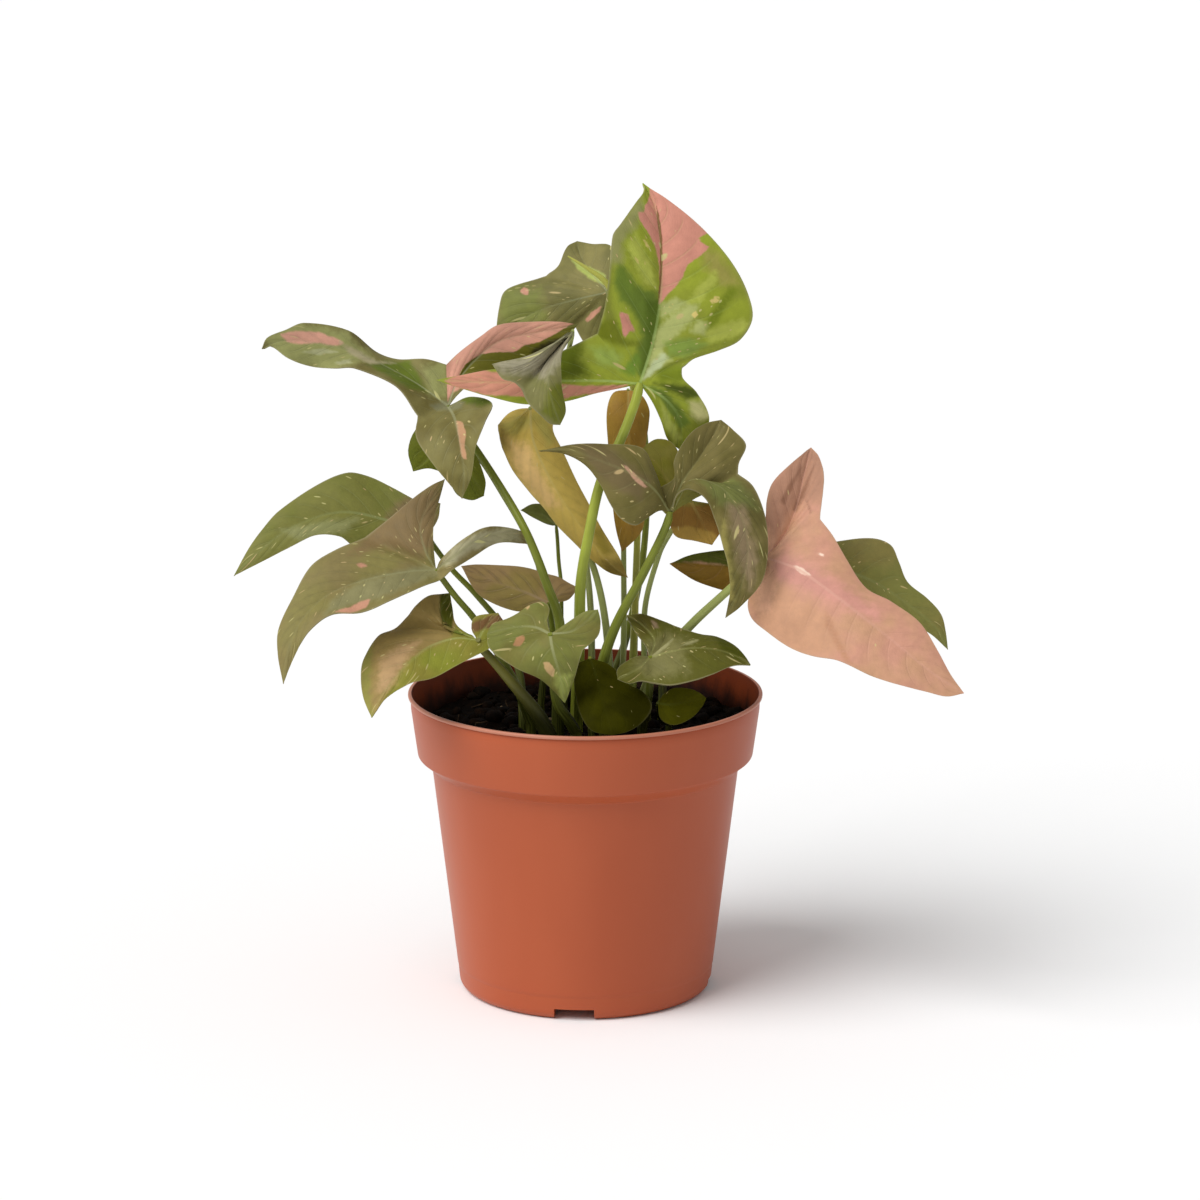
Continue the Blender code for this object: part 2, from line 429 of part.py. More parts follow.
def leaf_blade(name, leaf, collection):
    """A thin leaf: every lobe is lofted from its rib to its two edges."""
    set_back = leaf.get("set_back", 0)

    def place(point):
        return seen(point[0], point[1], point[2] + set_back)

    surface = bmesh.new()
    joint = place(leaf["joint"])
    start = joint
    for lobe in leaf["lobes"]:
        rib = [joint] + [place(point) for point in lobe["rib"]]
        tip = rib[-1]
        end = place(lobe["notch"]) if "notch" in lobe else joint
        near = [start] + [place(point) for point in lobe["near"]] + [tip]
        far = [end] + [place(point) for point in reversed(lobe["far"])] + [tip]
        length = sum((b - a).length for a, b in zip(rib, rib[1:]))
        rows = max(3, round(length / BLADE_STEP))
        half_lobe(surface, rib, near, rows, True)
        half_lobe(surface, rib, far, rows, False)
        start = end
    bmesh.ops.remove_doubles(surface, verts=surface.verts, dist=0.00005)
    bmesh.ops.triangulate(surface, faces=surface.faces)
    mesh = bpy.data.meshes.new(name)
    surface.to_mesh(mesh)
    surface.free()
    mesh.shade_smooth()
    blade = add_object(name, mesh, make_material(name, leaf["colour"], 0.45), collection)
    shell = blade.modifiers.new("Thickness", "SOLIDIFY")
    shell.thickness = BLADE_THICKNESS
    shell.offset = 0
    return blade


def tube(name, points, radii, material, collection):
    """A round tapering stem through the points, closed at both ends."""
    curve = bpy.data.curves.new(name, "CURVE")
    curve.dimensions = "3D"
    curve.bevel_depth = 0.001
    curve.bevel_resolution = 1
    curve.use_fill_caps = True
    spline = curve.splines.new("POLY")
    spline.points.add(len(points) - 1)
    for spot, place, radius in zip(spline.points, points, radii):
        spot.co = (*place, 1)
        spot.radius = radius
    guide = bpy.data.objects.new(name + "_guide", curve)
    bpy.context.scene.collection.objects.link(guide)
    bpy.context.view_layer.update()
    drawn = guide.evaluated_get(bpy.context.evaluated_depsgraph_get())
    mesh = bpy.data.meshes.new_from_object(drawn)
    mesh.name = name
    bpy.data.objects.remove(guide)
    bpy.data.curves.remove(curve)
    shape = bmesh.new()
    shape.from_mesh(mesh)
    bmesh.ops.remove_doubles(shape, verts=shape.verts, dist=0.000005)
    bmesh.ops.recalc_face_normals(shape, faces=shape.faces)
    shape.to_mesh(mesh)
    shape.free()
    mesh.shade_smooth()
    mesh.materials.clear()
    return add_object(name, mesh, material, collection)


def stem_points(route, foot, set_back=0):
    """A smooth route down to the soil, then straight down into its hole."""
    count = len(route)
    route = [(across, up, depth + set_back * (1 - (index / count) ** 2))
             for index, (across, up, depth) in enumerate(route)]
    soil_top = POT_HEIGHT - SOIL_DROP
    ground = Vector((foot[0] / 1000, foot[1] / 1000, soil_top + 0.006))
    guide = [seen(*point) for point in route] + [ground]
    length = sum((b - a).length for a, b in zip(guide, guide[1:]))
    line = smooth_line(guide, max(3, round(length / 0.009)))
    return line + [Vector((ground.x, ground.y, soil_top - STEM_SINK))]


def clearance(blade_tree, centre, direction, radius):
    """Distance from the blade to a stem's round end and to its sides just below."""
    across = direction.orthogonal().normalized() * radius
    other = direction.cross(across)
    nearest = blade_tree.find_nearest(centre)[3]
    for level in (0, 0.0007, 0.0015, 0.0025):
        for turn in range(16):
            angle = 2 * math.pi * turn / 16
            spot = centre + direction * level + across * math.cos(angle) + other * math.sin(angle)
            nearest = min(nearest, blade_tree.find_nearest(spot)[3])
    return nearest


def leaf_stem(name, leaf, blade, collection):
    """A leaf's stem, ending just short of the blade that it carries."""
    line = stem_points([leaf["joint"]] + leaf["stem"], leaf["foot"], leaf.get("set_back", 0))
    top, bottom = leaf["radii"]
    bpy.context.view_layer.update()
    blade_tree = BVHTree.FromObject(blade, bpy.context.evaluated_depsgraph_get())
    direction = (line[1] - line[0]).normalized()
    reach = (line[1] - line[0]).length
    back_off = 0.0004
    while back_off < reach * 0.9:
        if clearance(blade_tree, line[0] + direction * back_off, direction, top / 1000) > GAP:
            break
        back_off += 0.00005
    line[0] += direction * back_off
    steps = len(line) - 1
    radii = [top + (bottom - top) * (step / steps) ** 1.6 for step in range(steps + 1)]
    return tube(name, line, radii, bpy.data.materials["stem_green"], collection)


def turned(name, profile, steps, material, collection):
    """A shape turned about the pot's axis from (radius, height) points."""
    mesh = bpy.data.meshes.new(name)
    outline = bmesh.new()
    corners = [outline.verts.new((radius, 0, height)) for radius, height in profile]
    for first, second in zip(corners, corners[1:]):
        if max(first.co.x, second.co.x) > 0:
            outline.edges.new((first, second))
    if profile[0][0] > 0:
        outline.edges.new((corners[-1], corners[0]))
    outline.to_mesh(mesh)
    outline.free()
    piece = add_object(name, mesh, material, collection)
    screw = piece.modifiers.new("Turn", "SCREW")
    screw.steps = steps
    screw.render_steps = steps
    screw.use_merge_vertices = True
    screw.merge_threshold = 0.00001
    screw.use_smooth_shade = True
    return piece


def cut(piece, cutter):
    difference = piece.modifiers.new("Cut", "BOOLEAN")
    difference.operation = "DIFFERENCE"
    difference.object = cutter
    cutter.hide_render = True
    cutter.display_type = "WIRE"


def block_cutter(name, size, location, angle, collection):
    mesh = bpy.data.meshes.new(name)
    shape = bmesh.new()
    bmesh.ops.create_cube(shape, size=1)
    bmesh.ops.scale(shape, vec=size, verts=shape.verts)
    shape.to_mesh(mesh)
    shape.free()
    block = add_object(name, mesh, None, collection)
    block.location = location
    block.rotation_euler.z = angle
    return block


def rod_cutter(name, radius, low, high, place, sides, collection):
    mesh = bpy.data.meshes.new(name)
    shape = bmesh.new()
    bmesh.ops.create_cone(shape, cap_ends=True, segments=sides, radius1=radius, radius2=radius, depth=high - low)
    shape.to_mesh(mesh)
    shape.free()
    rod = add_object(name, mesh, None, collection)
    rod.location = (place[0], place[1], (low + high) / 2)
    return rod


def corner(centre_radius, centre_height, size, start, end, steps):
    """Points of a rounded corner in the turned profile, angles in degrees."""
    points = []
    for step in range(steps + 1):
        angle = math.radians(start + (end - start) * step / steps)
        points.append((centre_radius + size * math.cos(angle), centre_height + size * math.sin(angle)))
    return points


def band_radius(height):
    """Outer radius of the rim band at a height."""
    share = (POT_HEIGHT - height) / BAND_HEIGHT
    return RIM_RADIUS - 0.0006 + (BAND_FOOT_RADIUS - RIM_RADIUS + 0.0006) * share


def make_pot(collection, cutters):
    band_foot = POT_HEIGHT - BAND_HEIGHT
    shoulder = band_foot - SHOULDER_DROP
    lip = 0.0013
    inner_floor = FLOOR_RAISE + WALL
    profile = [(RIM_RADIUS, POT_HEIGHT), (RIM_RADIUS, POT_HEIGHT - lip)]
    profile += [(band_radius(POT_HEIGHT - lip - 0.0006), POT_HEIGHT - lip - 0.0006)]
    profile += [(BAND_FOOT_RADIUS, band_foot), (BODY_TOP_RADIUS, shoulder)]
    profile += corner(BODY_FOOT_RADIUS - FOOT_CORNER, FOOT_CORNER, FOOT_CORNER, 0, -70, 3)
    profile += [(BODY_FOOT_RADIUS - 0.0036, 0), (BODY_FOOT_RADIUS - 0.0060, 0)]
    profile += [(BODY_FOOT_RADIUS - 0.0066, FLOOR_RAISE), (0.0205, FLOOR_RAISE), (0.0195, 0), (0.0, 0)]
    inside = [(0.0, WALL), (0.0195 - WALL, WALL), (0.0205 - WALL, inner_floor)]
    inside += [(BODY_FOOT_RADIUS - WALL - 0.003, inner_floor), (BODY_FOOT_RADIUS - WALL + 0.0004, inner_floor + 0.004)]
    inside += [(BODY_TOP_RADIUS - WALL, shoulder + 0.0006), (BAND_FOOT_RADIUS - WALL - 0.0004, band_foot + 0.001)]
    inside += [(RIM_RADIUS - WALL, POT_HEIGHT)]
    pot = turned("pot", profile + inside, POT_STEPS, make_material("pot_plastic", POT_COLOUR, 0.38), collection)
    for index in range(FOOT_NOTCHES):
        angle = FOOT_NOTCH_TURN + 2 * math.pi * index / FOOT_NOTCHES
        reach = BODY_FOOT_RADIUS - 0.002
        place = (reach * math.cos(angle), reach * math.sin(angle), FOOT_NOTCH_HEIGHT / 2 - 0.0005)
        size = (0.014, FOOT_NOTCH_WIDTH, FOOT_NOTCH_HEIGHT + 0.001)
        cut(pot, block_cutter(f"foot_notch_{index}", size, place, angle, cutters))
    for index in range(DRAIN_HOLES):
        angle = 2 * math.pi * (index + 0.5) / DRAIN_HOLES
        place = (DRAIN_RING_RADIUS * math.cos(angle), DRAIN_RING_RADIUS * math.sin(angle))
        rod = rod_cutter(f"drain_{index}", DRAIN_HOLE_RADIUS, 0.001, 0.009, place, 12, cutters)
        cut(pot, rod)
    return pot


def make_soil(collection, cutters, feet):
    """Peat up to just under the rim, lumpy on top, with a plain hole for each stem."""
    top = POT_HEIGHT - SOIL_DROP
    band_foot = POT_HEIGHT - BAND_HEIGHT
    clear = WALL + GAP
    edge = BAND_FOOT_RADIUS + (top - band_foot) * 0.1 - clear - 0.0012
    rings = 9
    profile = [(0.0, top)]
    profile += [(edge * ring / rings, top) for ring in range(1, rings)]
    profile += [(edge, top - 0.001), (BAND_FOOT_RADIUS - clear - 0.0013, band_foot + 0.0025)]
    profile += [(BODY_TOP_RADIUS - clear - 0.0006, band_foot - SHOULDER_DROP)]
    floor = FLOOR_RAISE + clear
    profile += [(BODY_FOOT_RADIUS - clear - 0.0006, floor + 0.0055), (BODY_FOOT_RADIUS - clear - 0.004, floor)]
    profile += [(0.0, floor)]
    turning = turned("soil_turning", profile, 44, None, cutters)
    bpy.context.view_layer.update()
    drawn = turning.evaluated_get(bpy.context.evaluated_depsgraph_get())
    mesh = bpy.data.meshes.new_from_object(drawn)
    bpy.data.objects.remove(turning)
    mesh.name = "soil"
    for vert in mesh.vertices:
        inward = min(1.0, (edge - math.hypot(vert.co.x, vert.co.y)) / 0.006)
        if vert.co.z > top - 0.0005 and inward > 0:
            lump = noise.noise(vert.co * 75) + 0.6 * noise.noise(vert.co * 190)
            vert.co.z += SOIL_LUMP * lump * inward
    soil = add_object("soil", mesh, make_material("peat", SOIL_COLOUR, 0.95), collection)
    for name, (place, radius) in feet.items():
        low = top - STEM_SINK - GAP
        hole_radius = (radius + GAP) / math.cos(math.pi / 8)
        rod = rod_cutter("hole_" + name, hole_radius, low, top + 0.012, place, 8, cutters)
        rod.rotation_euler.z = math.pi / 8
        cut(soil, rod)
    return soil


def make_plant(collection, cutters):
    feet = {}
    for name, leaf in LEAVES.items():
        blade = leaf_blade(name, leaf, collection)
        leaf_stem(name.replace("leaf", "stem"), leaf, blade, collection)
        feet[name] = ((leaf["foot"][0] / 1000, leaf["foot"][1] / 1000), leaf["radii"][1] / 1000)
    rolled = ROLLED_LEAF
    line = stem_points(rolled["route"], rolled["foot"])
    spread = [rolled["radii"][min(int(step / (len(line) - 1) * len(rolled["radii"])), len(rolled["radii"]) - 1)]
              for step in range(len(line))]
    tube("rolled_leaf", line, spread, make_material("rolled_leaf", rolled["colour"], 0.4), collection)
    feet["rolled_leaf"] = ((rolled["foot"][0] / 1000, rolled["foot"][1] / 1000), spread[-1] / 1000)
    make_soil(collection, cutters, feet)


def main():
    for leftover in list(bpy.data.objects):
        bpy.data.objects.remove(leftover)
    parts = bpy.data.collections.new("arrowhead_plant")
    cutters = bpy.data.collections.new("cutters")
    bpy.context.scene.collection.children.link(parts)
    bpy.context.scene.collection.children.link(cutters)
    make_material("stem_green", STEM_COLOUR, 0.4)
    make_pot(parts, cutters)
    make_plant(parts, cutters)


main()
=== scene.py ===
# Arrowhead plant with three-lobed variegated leaves in a terracotta-coloured nursery pot.
# Metres, +Z up, the pot stands on z = 0 on its own axis.
import math

import bmesh
import bpy
import numpy as np
from mathutils import Matrix, Vector, noise


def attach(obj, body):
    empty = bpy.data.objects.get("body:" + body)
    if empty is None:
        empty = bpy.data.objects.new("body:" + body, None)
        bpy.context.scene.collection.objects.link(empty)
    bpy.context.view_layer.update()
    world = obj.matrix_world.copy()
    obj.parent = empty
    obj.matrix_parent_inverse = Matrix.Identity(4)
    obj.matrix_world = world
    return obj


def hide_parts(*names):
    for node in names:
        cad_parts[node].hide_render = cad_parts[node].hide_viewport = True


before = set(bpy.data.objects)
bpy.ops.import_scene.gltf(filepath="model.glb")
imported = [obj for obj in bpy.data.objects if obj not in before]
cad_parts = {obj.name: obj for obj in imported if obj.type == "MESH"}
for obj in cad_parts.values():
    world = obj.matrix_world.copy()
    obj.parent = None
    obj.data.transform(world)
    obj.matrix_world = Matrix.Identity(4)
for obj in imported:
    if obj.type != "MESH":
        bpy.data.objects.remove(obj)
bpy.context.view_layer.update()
print("frame loaded")

mm = 0.001
# The photograph's view: leaf points are (across, up, depth) in mm from the middle of the pot's rim.
frontView = {"rimHeight": 0.103, "tilt": 13.3, "distance": 1.506, "centre": (0.00498, 0.0308),
             "focalPixels": 4449, "framePixels": 1200, "rimPixel": (585.3, 691.0), "mmPerPixel": 0.3385}

tilt = math.radians(frontView["tilt"])
viewRight = Vector((1, 0, 0))
viewUp = Vector((0, math.sin(tilt), math.cos(tilt)))
viewBack = Vector((0, -math.cos(tilt), math.sin(tilt)))
rimMiddle = Vector((0, 0, frontView["rimHeight"]))
eye = (rimMiddle + viewRight * frontView["centre"][0] + viewUp * frontView["centre"][1]
       + viewBack * frontView["distance"])


def seen(across, up, depth):
    # a front-view point in mm, at its depth behind the rim's middle
    target = rimMiddle + viewRight * (across * mm) + viewUp * (up * mm)
    reach = (depth * mm - eye.y) / (target.y - eye.y)
    return eye + (target - eye) * reach


def leafSpot(form, point):
    # a leaf's point, set back by what the whole leaf is
    return seen(point[0], point[1], point[2] + form.get("setBack", 0))


def frontSpots(points):
    # the way back: (across, up) in mm of an array of points in the row frame
    ray = points - np.array(eye)
    reach = (np.array(rimMiddle - eye) @ np.array(viewBack)) / (ray @ np.array(viewBack))
    onPlane = np.array(eye) + ray * reach[:, None] - np.array(rimMiddle)
    return np.stack([onPlane @ np.array(viewRight), onPlane @ np.array(viewUp)], 1) / mm


def photoSpot(pixel):
    # a pixel of the 1200 x 1200 photograph as (across, up) in mm
    left, top = frontView["rimPixel"]
    return (pixel[0] - left) * frontView["mmPerPixel"], (top - pixel[1]) * frontView["mmPerPixel"]


def smoothLine(points, count):
    # equal steps along a smooth curve through the points
    lengths = [0.0]
    for first, second in zip(points, points[1:]):
        lengths.append(lengths[-1] + (second - first).length)
    slopes = []
    for index in range(len(points)):
        low, high = max(index - 1, 0), min(index + 1, len(points) - 1)
        slopes.append((points[high] - points[low]) / (lengths[high] - lengths[low]))
    line = []
    piece = 0
    for step in range(count + 1):
        distance = lengths[-1] * step / count
        while piece < len(points) - 2 and distance > lengths[piece + 1]:
            piece += 1
        span = lengths[piece + 1] - lengths[piece]
        t = min((distance - lengths[piece]) / span, 1.0)
        line.append(points[piece] * (2 * t**3 - 3 * t**2 + 1) + slopes[piece] * span * (t**3 - 2 * t**2 + t)
                    + points[piece + 1] * (3 * t**2 - 2 * t**3) + slopes[piece + 1] * span * (t**3 - t**2))
    return line


def newObject(name, data):
    made = bpy.data.objects.new(name, data)
    bpy.context.scene.collection.objects.link(made)
    return made


def keepField(mesh, label, domain, values):
    # numbers that the materials read, three to a point or a face's corner
    layer = mesh.attributes.new(label, "FLOAT_VECTOR", domain)
    layer.data.foreach_set("vector", np.asarray(values, np.float32).ravel())


def readField(mesh, label):
    values = np.zeros(len(mesh.loops) * 3, np.float32)
    mesh.attributes[label].data.foreach_get("vector", values)
    return values.reshape(-1, 3)


# Colours are sRGB hex values.
def linear(hexColour):
    parts = [int(hexColour[i:i + 2], 16) / 255 for i in (1, 3, 5)]
    return tuple(p / 12.92 if p <= 0.04045 else ((p + 0.055) / 1.055) ** 2.4 for p in parts) + (1.0,)


def feed(node, **links):
    # inputs by name, or as i and a number: from another node's output, or a plain value
    for key, value in links.items():
        socket = node.inputs[int(key[1:]) if key[1:].isdigit() else key.replace("_", " ")]
        if isinstance(value, bpy.types.NodeSocket):
            node.id_data.links.new(value, socket)
        else:
            socket.default_value = value


def newMaterial(name):
    # the material, the function that adds a node to it and gives the node's outputs, and its shader
    material = bpy.data.materials.new(name)
    material.use_nodes = True
    nodes = material.node_tree.nodes

    def addNode(kind, settings=None, **links):
        node = nodes.new("ShaderNode" + kind)
        for key, value in (settings or {}).items():
            setattr(node, key, value)
        feed(node, **links)
        return node.outputs

    return material, addNode, nodes["Principled BSDF"]


# settings that many nodes share
smoothly = {"interpolation_type": "SMOOTHSTEP"}
mixColours = {"data_type": "RGBA"}
leafByLeaf = {"noise_dimensions": "4D"}
plus, minus = {"operation": "ADD"}, {"operation": "SUBTRACT"}
times, timesPlus = {"operation": "MULTIPLY"}, {"operation": "MULTIPLY_ADD"}


# Outlines of the leaves. Each lobe has its near edge, its rib out to the tip and its far edge, clockwise as
# seen on the upper face; the last lobe ends at the joint. The stem runs from the joint down to its foot in
# the peat. setBack moves a whole leaf back, in mm, and girth is the share of its radius that a stalk keeps
# at the top.
leafForms = {
  "crown_leaf": {
    "joint": (18.5, 104, -10), "foot": (-3, -13), "radii": (1.6, 2.4), "girth": 1.0,
    "stem": [(17, 98, -12), (12, 85, -15), (5.3, 71, -19), (1, 52, -22), (-1.5, 36.6, -21), (-2, 22, -18)],
    "lobes": [
      {"near": [(5, 101, -12), (-6.5, 98, -15), (-20, 97, -19), (-32, 99.5, -21), (-44, 103, -21)],
       "rib": [(8, 105, -12), (-9, 105, -16), (-29, 104.5, -19), (-50.5, 105.3, -21)],
       "far": [(-42, 107, -19), (-32, 108.7, -17), (-18, 110.5, -14), (-6, 116, -11.5)],
        "notch": (4, 121, -9)},
      {"near": [(6.3, 129, -12), (8, 139, -13), (9.4, 154, -9), (12.3, 158.5, -5), (16.8, 165, 2),
        (20.3, 169.8, 7)],
       "rib": [(23, 119, -7), (25.6, 136, -4), (25.3, 153, 1), (23.3, 164.5, 6), (19.5, 172, 9)],
       "far": [(21.9, 170.2, 8), (27, 167, 6), (36, 160, 4), (44.5, 151.5, 3), (51, 143, 2), (55.3, 134, 2),
        (56.6, 126, 1), (52.4, 118.8, 0), (45.6, 115.4, -2), (37, 112.5, -5)], "notch": (32.7, 109.7, -8)},
      {"near": [(33, 106, -8), (37.8, 101, -7), (42, 92.4, -5), (39, 85, -3)],
       "rib": [(27, 99, -9), (32, 92, -6), (32.7, 81, -2)],
       "far": [(28, 85, -4), (25.5, 91.7, -7), (22.5, 98, -9)]}]},
  "back_leaf": {
    "joint": (7.7, 135, 25), "foot": (5, 17), "radii": (1.2, 1.6), "setBack": 18,
    "stem": [(10, 130, 29), (14, 112, 27), (20, 88, 24), (20, 50, 20), (13, 15, 18)],
    "lobes": [
      {"near": [(9, 126, 24), (8, 119.5, 24)],
       "rib": [(6, 125, 25), (4.3, 115.4, 24)],
       "far": [(1, 116.5, 25), (-1.8, 120, 26)], "notch": (-3.5, 123.5, 27)},
      {"near": [(-12, 120, 28), (-22, 117, 29)],
       "rib": [(-3.5, 132.5, 27), (-15.3, 129, 29), (-25, 123.5, 31), (-30, 118.5, 31)],
       "far": [(-30, 124, 32), (-29.2, 130, 34), (-27.5, 135, 36), (-23, 137.5, 37)],
        "notch": (-13.3, 140.5, 38)},
      {"near": [(-9, 144.5, 42), (-6, 150.5, 46)],
       "rib": [(2.3, 141, 32), (-1.8, 147.6, 42), (-2.8, 152.3, 48)],
       "far": [(1.6, 151.6, 45), (8.7, 150.6, 38), (11, 145, 32), (10, 139, 28)]}]},
  "folded_leaf": {
    "joint": (-4.2, 122, -14), "foot": (2, 3), "radii": (1.0, 1.4),
    "stem": [(-5, 118, -9), (-7, 111, -5), (-12, 100, -2), (-14.5, 90, 0), (-11, 77, 2), (-5, 63, 3),
      (-0.5, 48, 4), (2, 25, 4)],
    "lobes": [
      {"near": [(-8, 115, -25), (-7.9, 103.6, -29), (-6.5, 95, -30)],
       "rib": [(-10, 113, -25), (-12.6, 106, -30), (-11.3, 98, -32), (-8.5, 90, -31)],
       "far": [(-12, 90.5, -31), (-15.3, 93.4, -31), (-19.7, 97.8, -30)], "notch": (-21.4, 102.2, -29)},
      {"near": [(-23.8, 104.3, -29), (-28, 105.6, -28)],
       "rib": [(-12, 116.5, -24), (-22, 110.3, -28), (-31.6, 110.7, -27)],
       "far": [(-23, 112.7, -26), (-18.7, 114, -25), (-11, 117.5, -21)]}]},
  "star_leaf": {
    "joint": (-46.5, 96.5, -5), "foot": (-9, -22), "radii": (1.4, 2.4),
    "stem": [(-44, 91, -6), (-37.3, 82.3, -10), (-26.2, 65, -20), (-20.4, 54.5, -26), (-16.7, 46, -28),
      (-13.6, 37.6, -28), (-8.6, 22, -25)],
    "lobes": [
      {"near": [(-39, 99.5, -13), (-31.6, 97.5, -20), (-34, 91.7, -25), (-37, 83.3, -28), (-38.5, 73, -29)],
       "rib": [(-44, 91.7, -17), (-42, 81.6, -26), (-41, 73, -29), (-41.7, 65, -30)],
       "far": [(-46, 70, -29), (-52.6, 78.2, -26), (-57.3, 86, -21)], "notch": (-56.6, 93.4, -14)},
      {"near": [(-64.4, 103.6, -10), (-78, 109.3, -8), (-84.7, 109.3, -8), (-93.2, 110, -9),
        (-100.6, 112.7, -12), (-106.6, 117, -12.5)],
       "rib": [(-57.6, 104.3, -2), (-69.5, 110.8, 0), (-81.3, 115.5, -2), (-96.6, 118.5, -7),
        (-105, 118, -11), (-109.4, 115.8, -14)],
       "far": [(-107.6, 119.6, -12), (-101.6, 122.2, -8), (-95.2, 124.6, -4), (-80.3, 122.2, 2),
        (-71.2, 114.8, 6), (-64, 112.5, 6), (-54.3, 112.5, 4)], "notch": (-47, 110.5, 4)},
      {"near": [(-43.4, 114, 8), (-35.3, 120.2, 12), (-29.6, 123.9, 14), (-18.7, 125, 15), (-8.6, 125, 15)],
       "rib": [(-44, 103.6, 0), (-38, 111.5, 7), (-28.9, 118.5, 12), (-15.3, 121.5, 14), (-2.5, 124, 15)],
       "far": [(-8.6, 117, 13), (-15.3, 113, 12), (-25.5, 110, 9), (-34, 107.3, 5), (-41, 102.5, -1)]}]},
  "tucked_leaf": {
    "joint": (-45.8, 85, 8), "foot": (-15, 5), "radii": (1.0, 1.4), "setBack": 6,
    "stem": [(-44.6, 84, 13), (-37.5, 80.5, 14), (-26.5, 64, 9), (-20.3, 53, 7), (-15.8, 42, 5),
      (-13, 22, 4)],
    "lobes": [
      {"near": [(-38, 81, 8), (-33.8, 71.5, 7)],
       "rib": [(-40.7, 76.5, 6), (-34.3, 66, 6)],
       "far": [(-38.5, 64.6, 6), (-43.5, 66.5, 6)], "notch": (-47, 73.5, 7)},
      {"near": [(-53, 75.3, 6)],
       "rib": [(-50.5, 81, 7), (-58.3, 74.3, 6)],
       "far": [(-60, 81.6, 7), (-57, 89, 9), (-51, 90.5, 9)]}]},
  "left_leaf": {
    "joint": (-50.5, 41, -35), "foot": (-18, -21), "radii": (1.3, 2.0),
    "stem": [(-48.5, 38, -34), (-44, 32, -33), (-37.3, 24, -30), (-25, 5, -25)],
    "lobes": [
      {"near": [(-49, 44.5, -36), (-42, 51, -37), (-34.3, 55.2, -34), (-27.2, 55.5, -26), (-20, 53.3, -18)],
       "rib": [(-44, 46, -38), (-35.6, 51.5, -35), (-25.5, 53, -24), (-16.4, 49, -15)],
       "far": [(-21.4, 50, -19), (-29.2, 50, -27), (-37, 46, -34), (-45, 41, -38)],
        "notch": (-49.2, 37.5, -38)},
      {"near": [(-54, 36, -42), (-65, 31, -49), (-75, 27, -53), (-85.7, 26, -56), (-94, 19.6, -59),
        (-98.3, 12, -61)],
       "rib": [(-59.3, 40.5, -38), (-73, 38, -42), (-86.4, 33, -47), (-95.6, 24.5, -54), (-100.5, 14, -60),
        (-102.3, 2.4, -64)],
       "far": [(-104, 12, -59), (-104, 20.6, -54), (-99.3, 31, -47), (-93, 42.3, -40), (-84.7, 47.5, -34)],
        "notch": (-74.6, 52, -28)},
      {"near": [(-68, 57.2, -25), (-57.6, 65.7, -22), (-52, 69.7, -20)],
       "rib": [(-54, 47, -34), (-56, 56, -28), (-52, 65, -22), (-47.5, 71.8, -18)],
       "far": [(-49, 66, -20), (-51, 59, -25), (-51.5, 50, -31)]}]},
  "far_left_leaf": {
    "joint": (-53.2, 52.8, -13), "foot": (-21, -8), "radii": (1.1, 1.6), "setBack": 12,
    "stem": [(-51.5, 49.5, -8), (-45, 41, -6), (-37.3, 33, -4), (-27, 20, -3), (-22, 5, -5)],
    "lobes": [
      {"near": [(-52, 44.5, -12)],
       "rib": [(-54.5, 45, -13), (-56, 37.6, -13)],
       "far": [(-61, 40.3, -14)], "notch": (-64.4, 46, -15)},
      {"near": [(-78.3, 49, -16), (-83, 52.3, -17), (-90.8, 52.8, -18), (-99.3, 49, -20), (-110, 43.5, -22)],
       "rib": [(-66, 57.5, -12), (-83, 60.5, -13), (-100, 55, -17), (-111.8, 46, -21), (-119, 39, -24)],
       "far": [(-114.5, 47.4, -19), (-109.4, 54.5, -16), (-103.7, 61, -13), (-90.8, 69.7, -7),
        (-80.7, 74, -4), (-74, 73, -3), (-65, 68.7, -6)], "notch": (-57.6, 64.7, -9)},
      {"near": [(-54.3, 65.3, -10)],
       "rib": [(-52, 59.6, -12), (-49, 63.5, -10)],
       "far": [(-50, 57.9, -12)]}]},
  "rim_left_leaf": {
    "joint": (-36.3, 17.3, -40), "foot": (-12, -34), "radii": (1.7, 3.3),
    "stem": [(-35, 14.5, -36.5), (-31, 10, -36), (-24.5, 2.4, -36.5), (-16, -8, -35.5)],
    "lobes": [
      {"near": [(-38.5, 21, -39), (-37.5, 25, -37)],
       "rib": [(-34, 21.5, -38), (-29.5, 26.5, -36)],
       "far": [(-27.2, 22.3, -37), (-29.6, 17.3, -39)], "notch": (-33, 14, -40.5)},
      {"near": [(-43.8, 8.5, -46), (-51.6, 4.4, -50), (-59, 2.7, -54), (-66, -1.4, -57), (-69.3, -4.4, -59)],
       "rib": [(-43.5, 18, -41), (-52.6, 15.2, -43), (-57.5, 11.5, -47), (-63, 6, -52), (-68.5, -1, -57),
        (-72.4, -9, -60)],
       "far": [(-75.3, -2, -55), (-76, 4.5, -50), (-75, 10.5, -44), (-70, 19, -38), (-64, 21.5, -34)],
        "notch": (-60, 25.5, -32)},
      {"near": [(-57, 29.3, -31), (-52.6, 32.4, -29)],
       "rib": [(-46.5, 21.5, -37), (-49, 27.5, -32), (-45.8, 33.2, -26)],
       "far": [(-45, 28.4, -29), (-43.5, 22.5, -36)]}]},
  "spotted_leaf": {
    "joint": (-11.9, 19.3, -45), "foot": (-3, -32), "radii": (1.5, 2.4),
    "stem": [(-11.5, 14, -41), (-11, 6, -38), (-9.5, -4, -36), (-5.5, -10, -34)],
    "lobes": [
      {"near": [(-9.5, 20.8, -45), (-2.8, 25.4, -45), (0, 27, -45)],
       "rib": [(-5, 20, -46), (0.2, 23.4, -46), (4.3, 27.6, -45)],
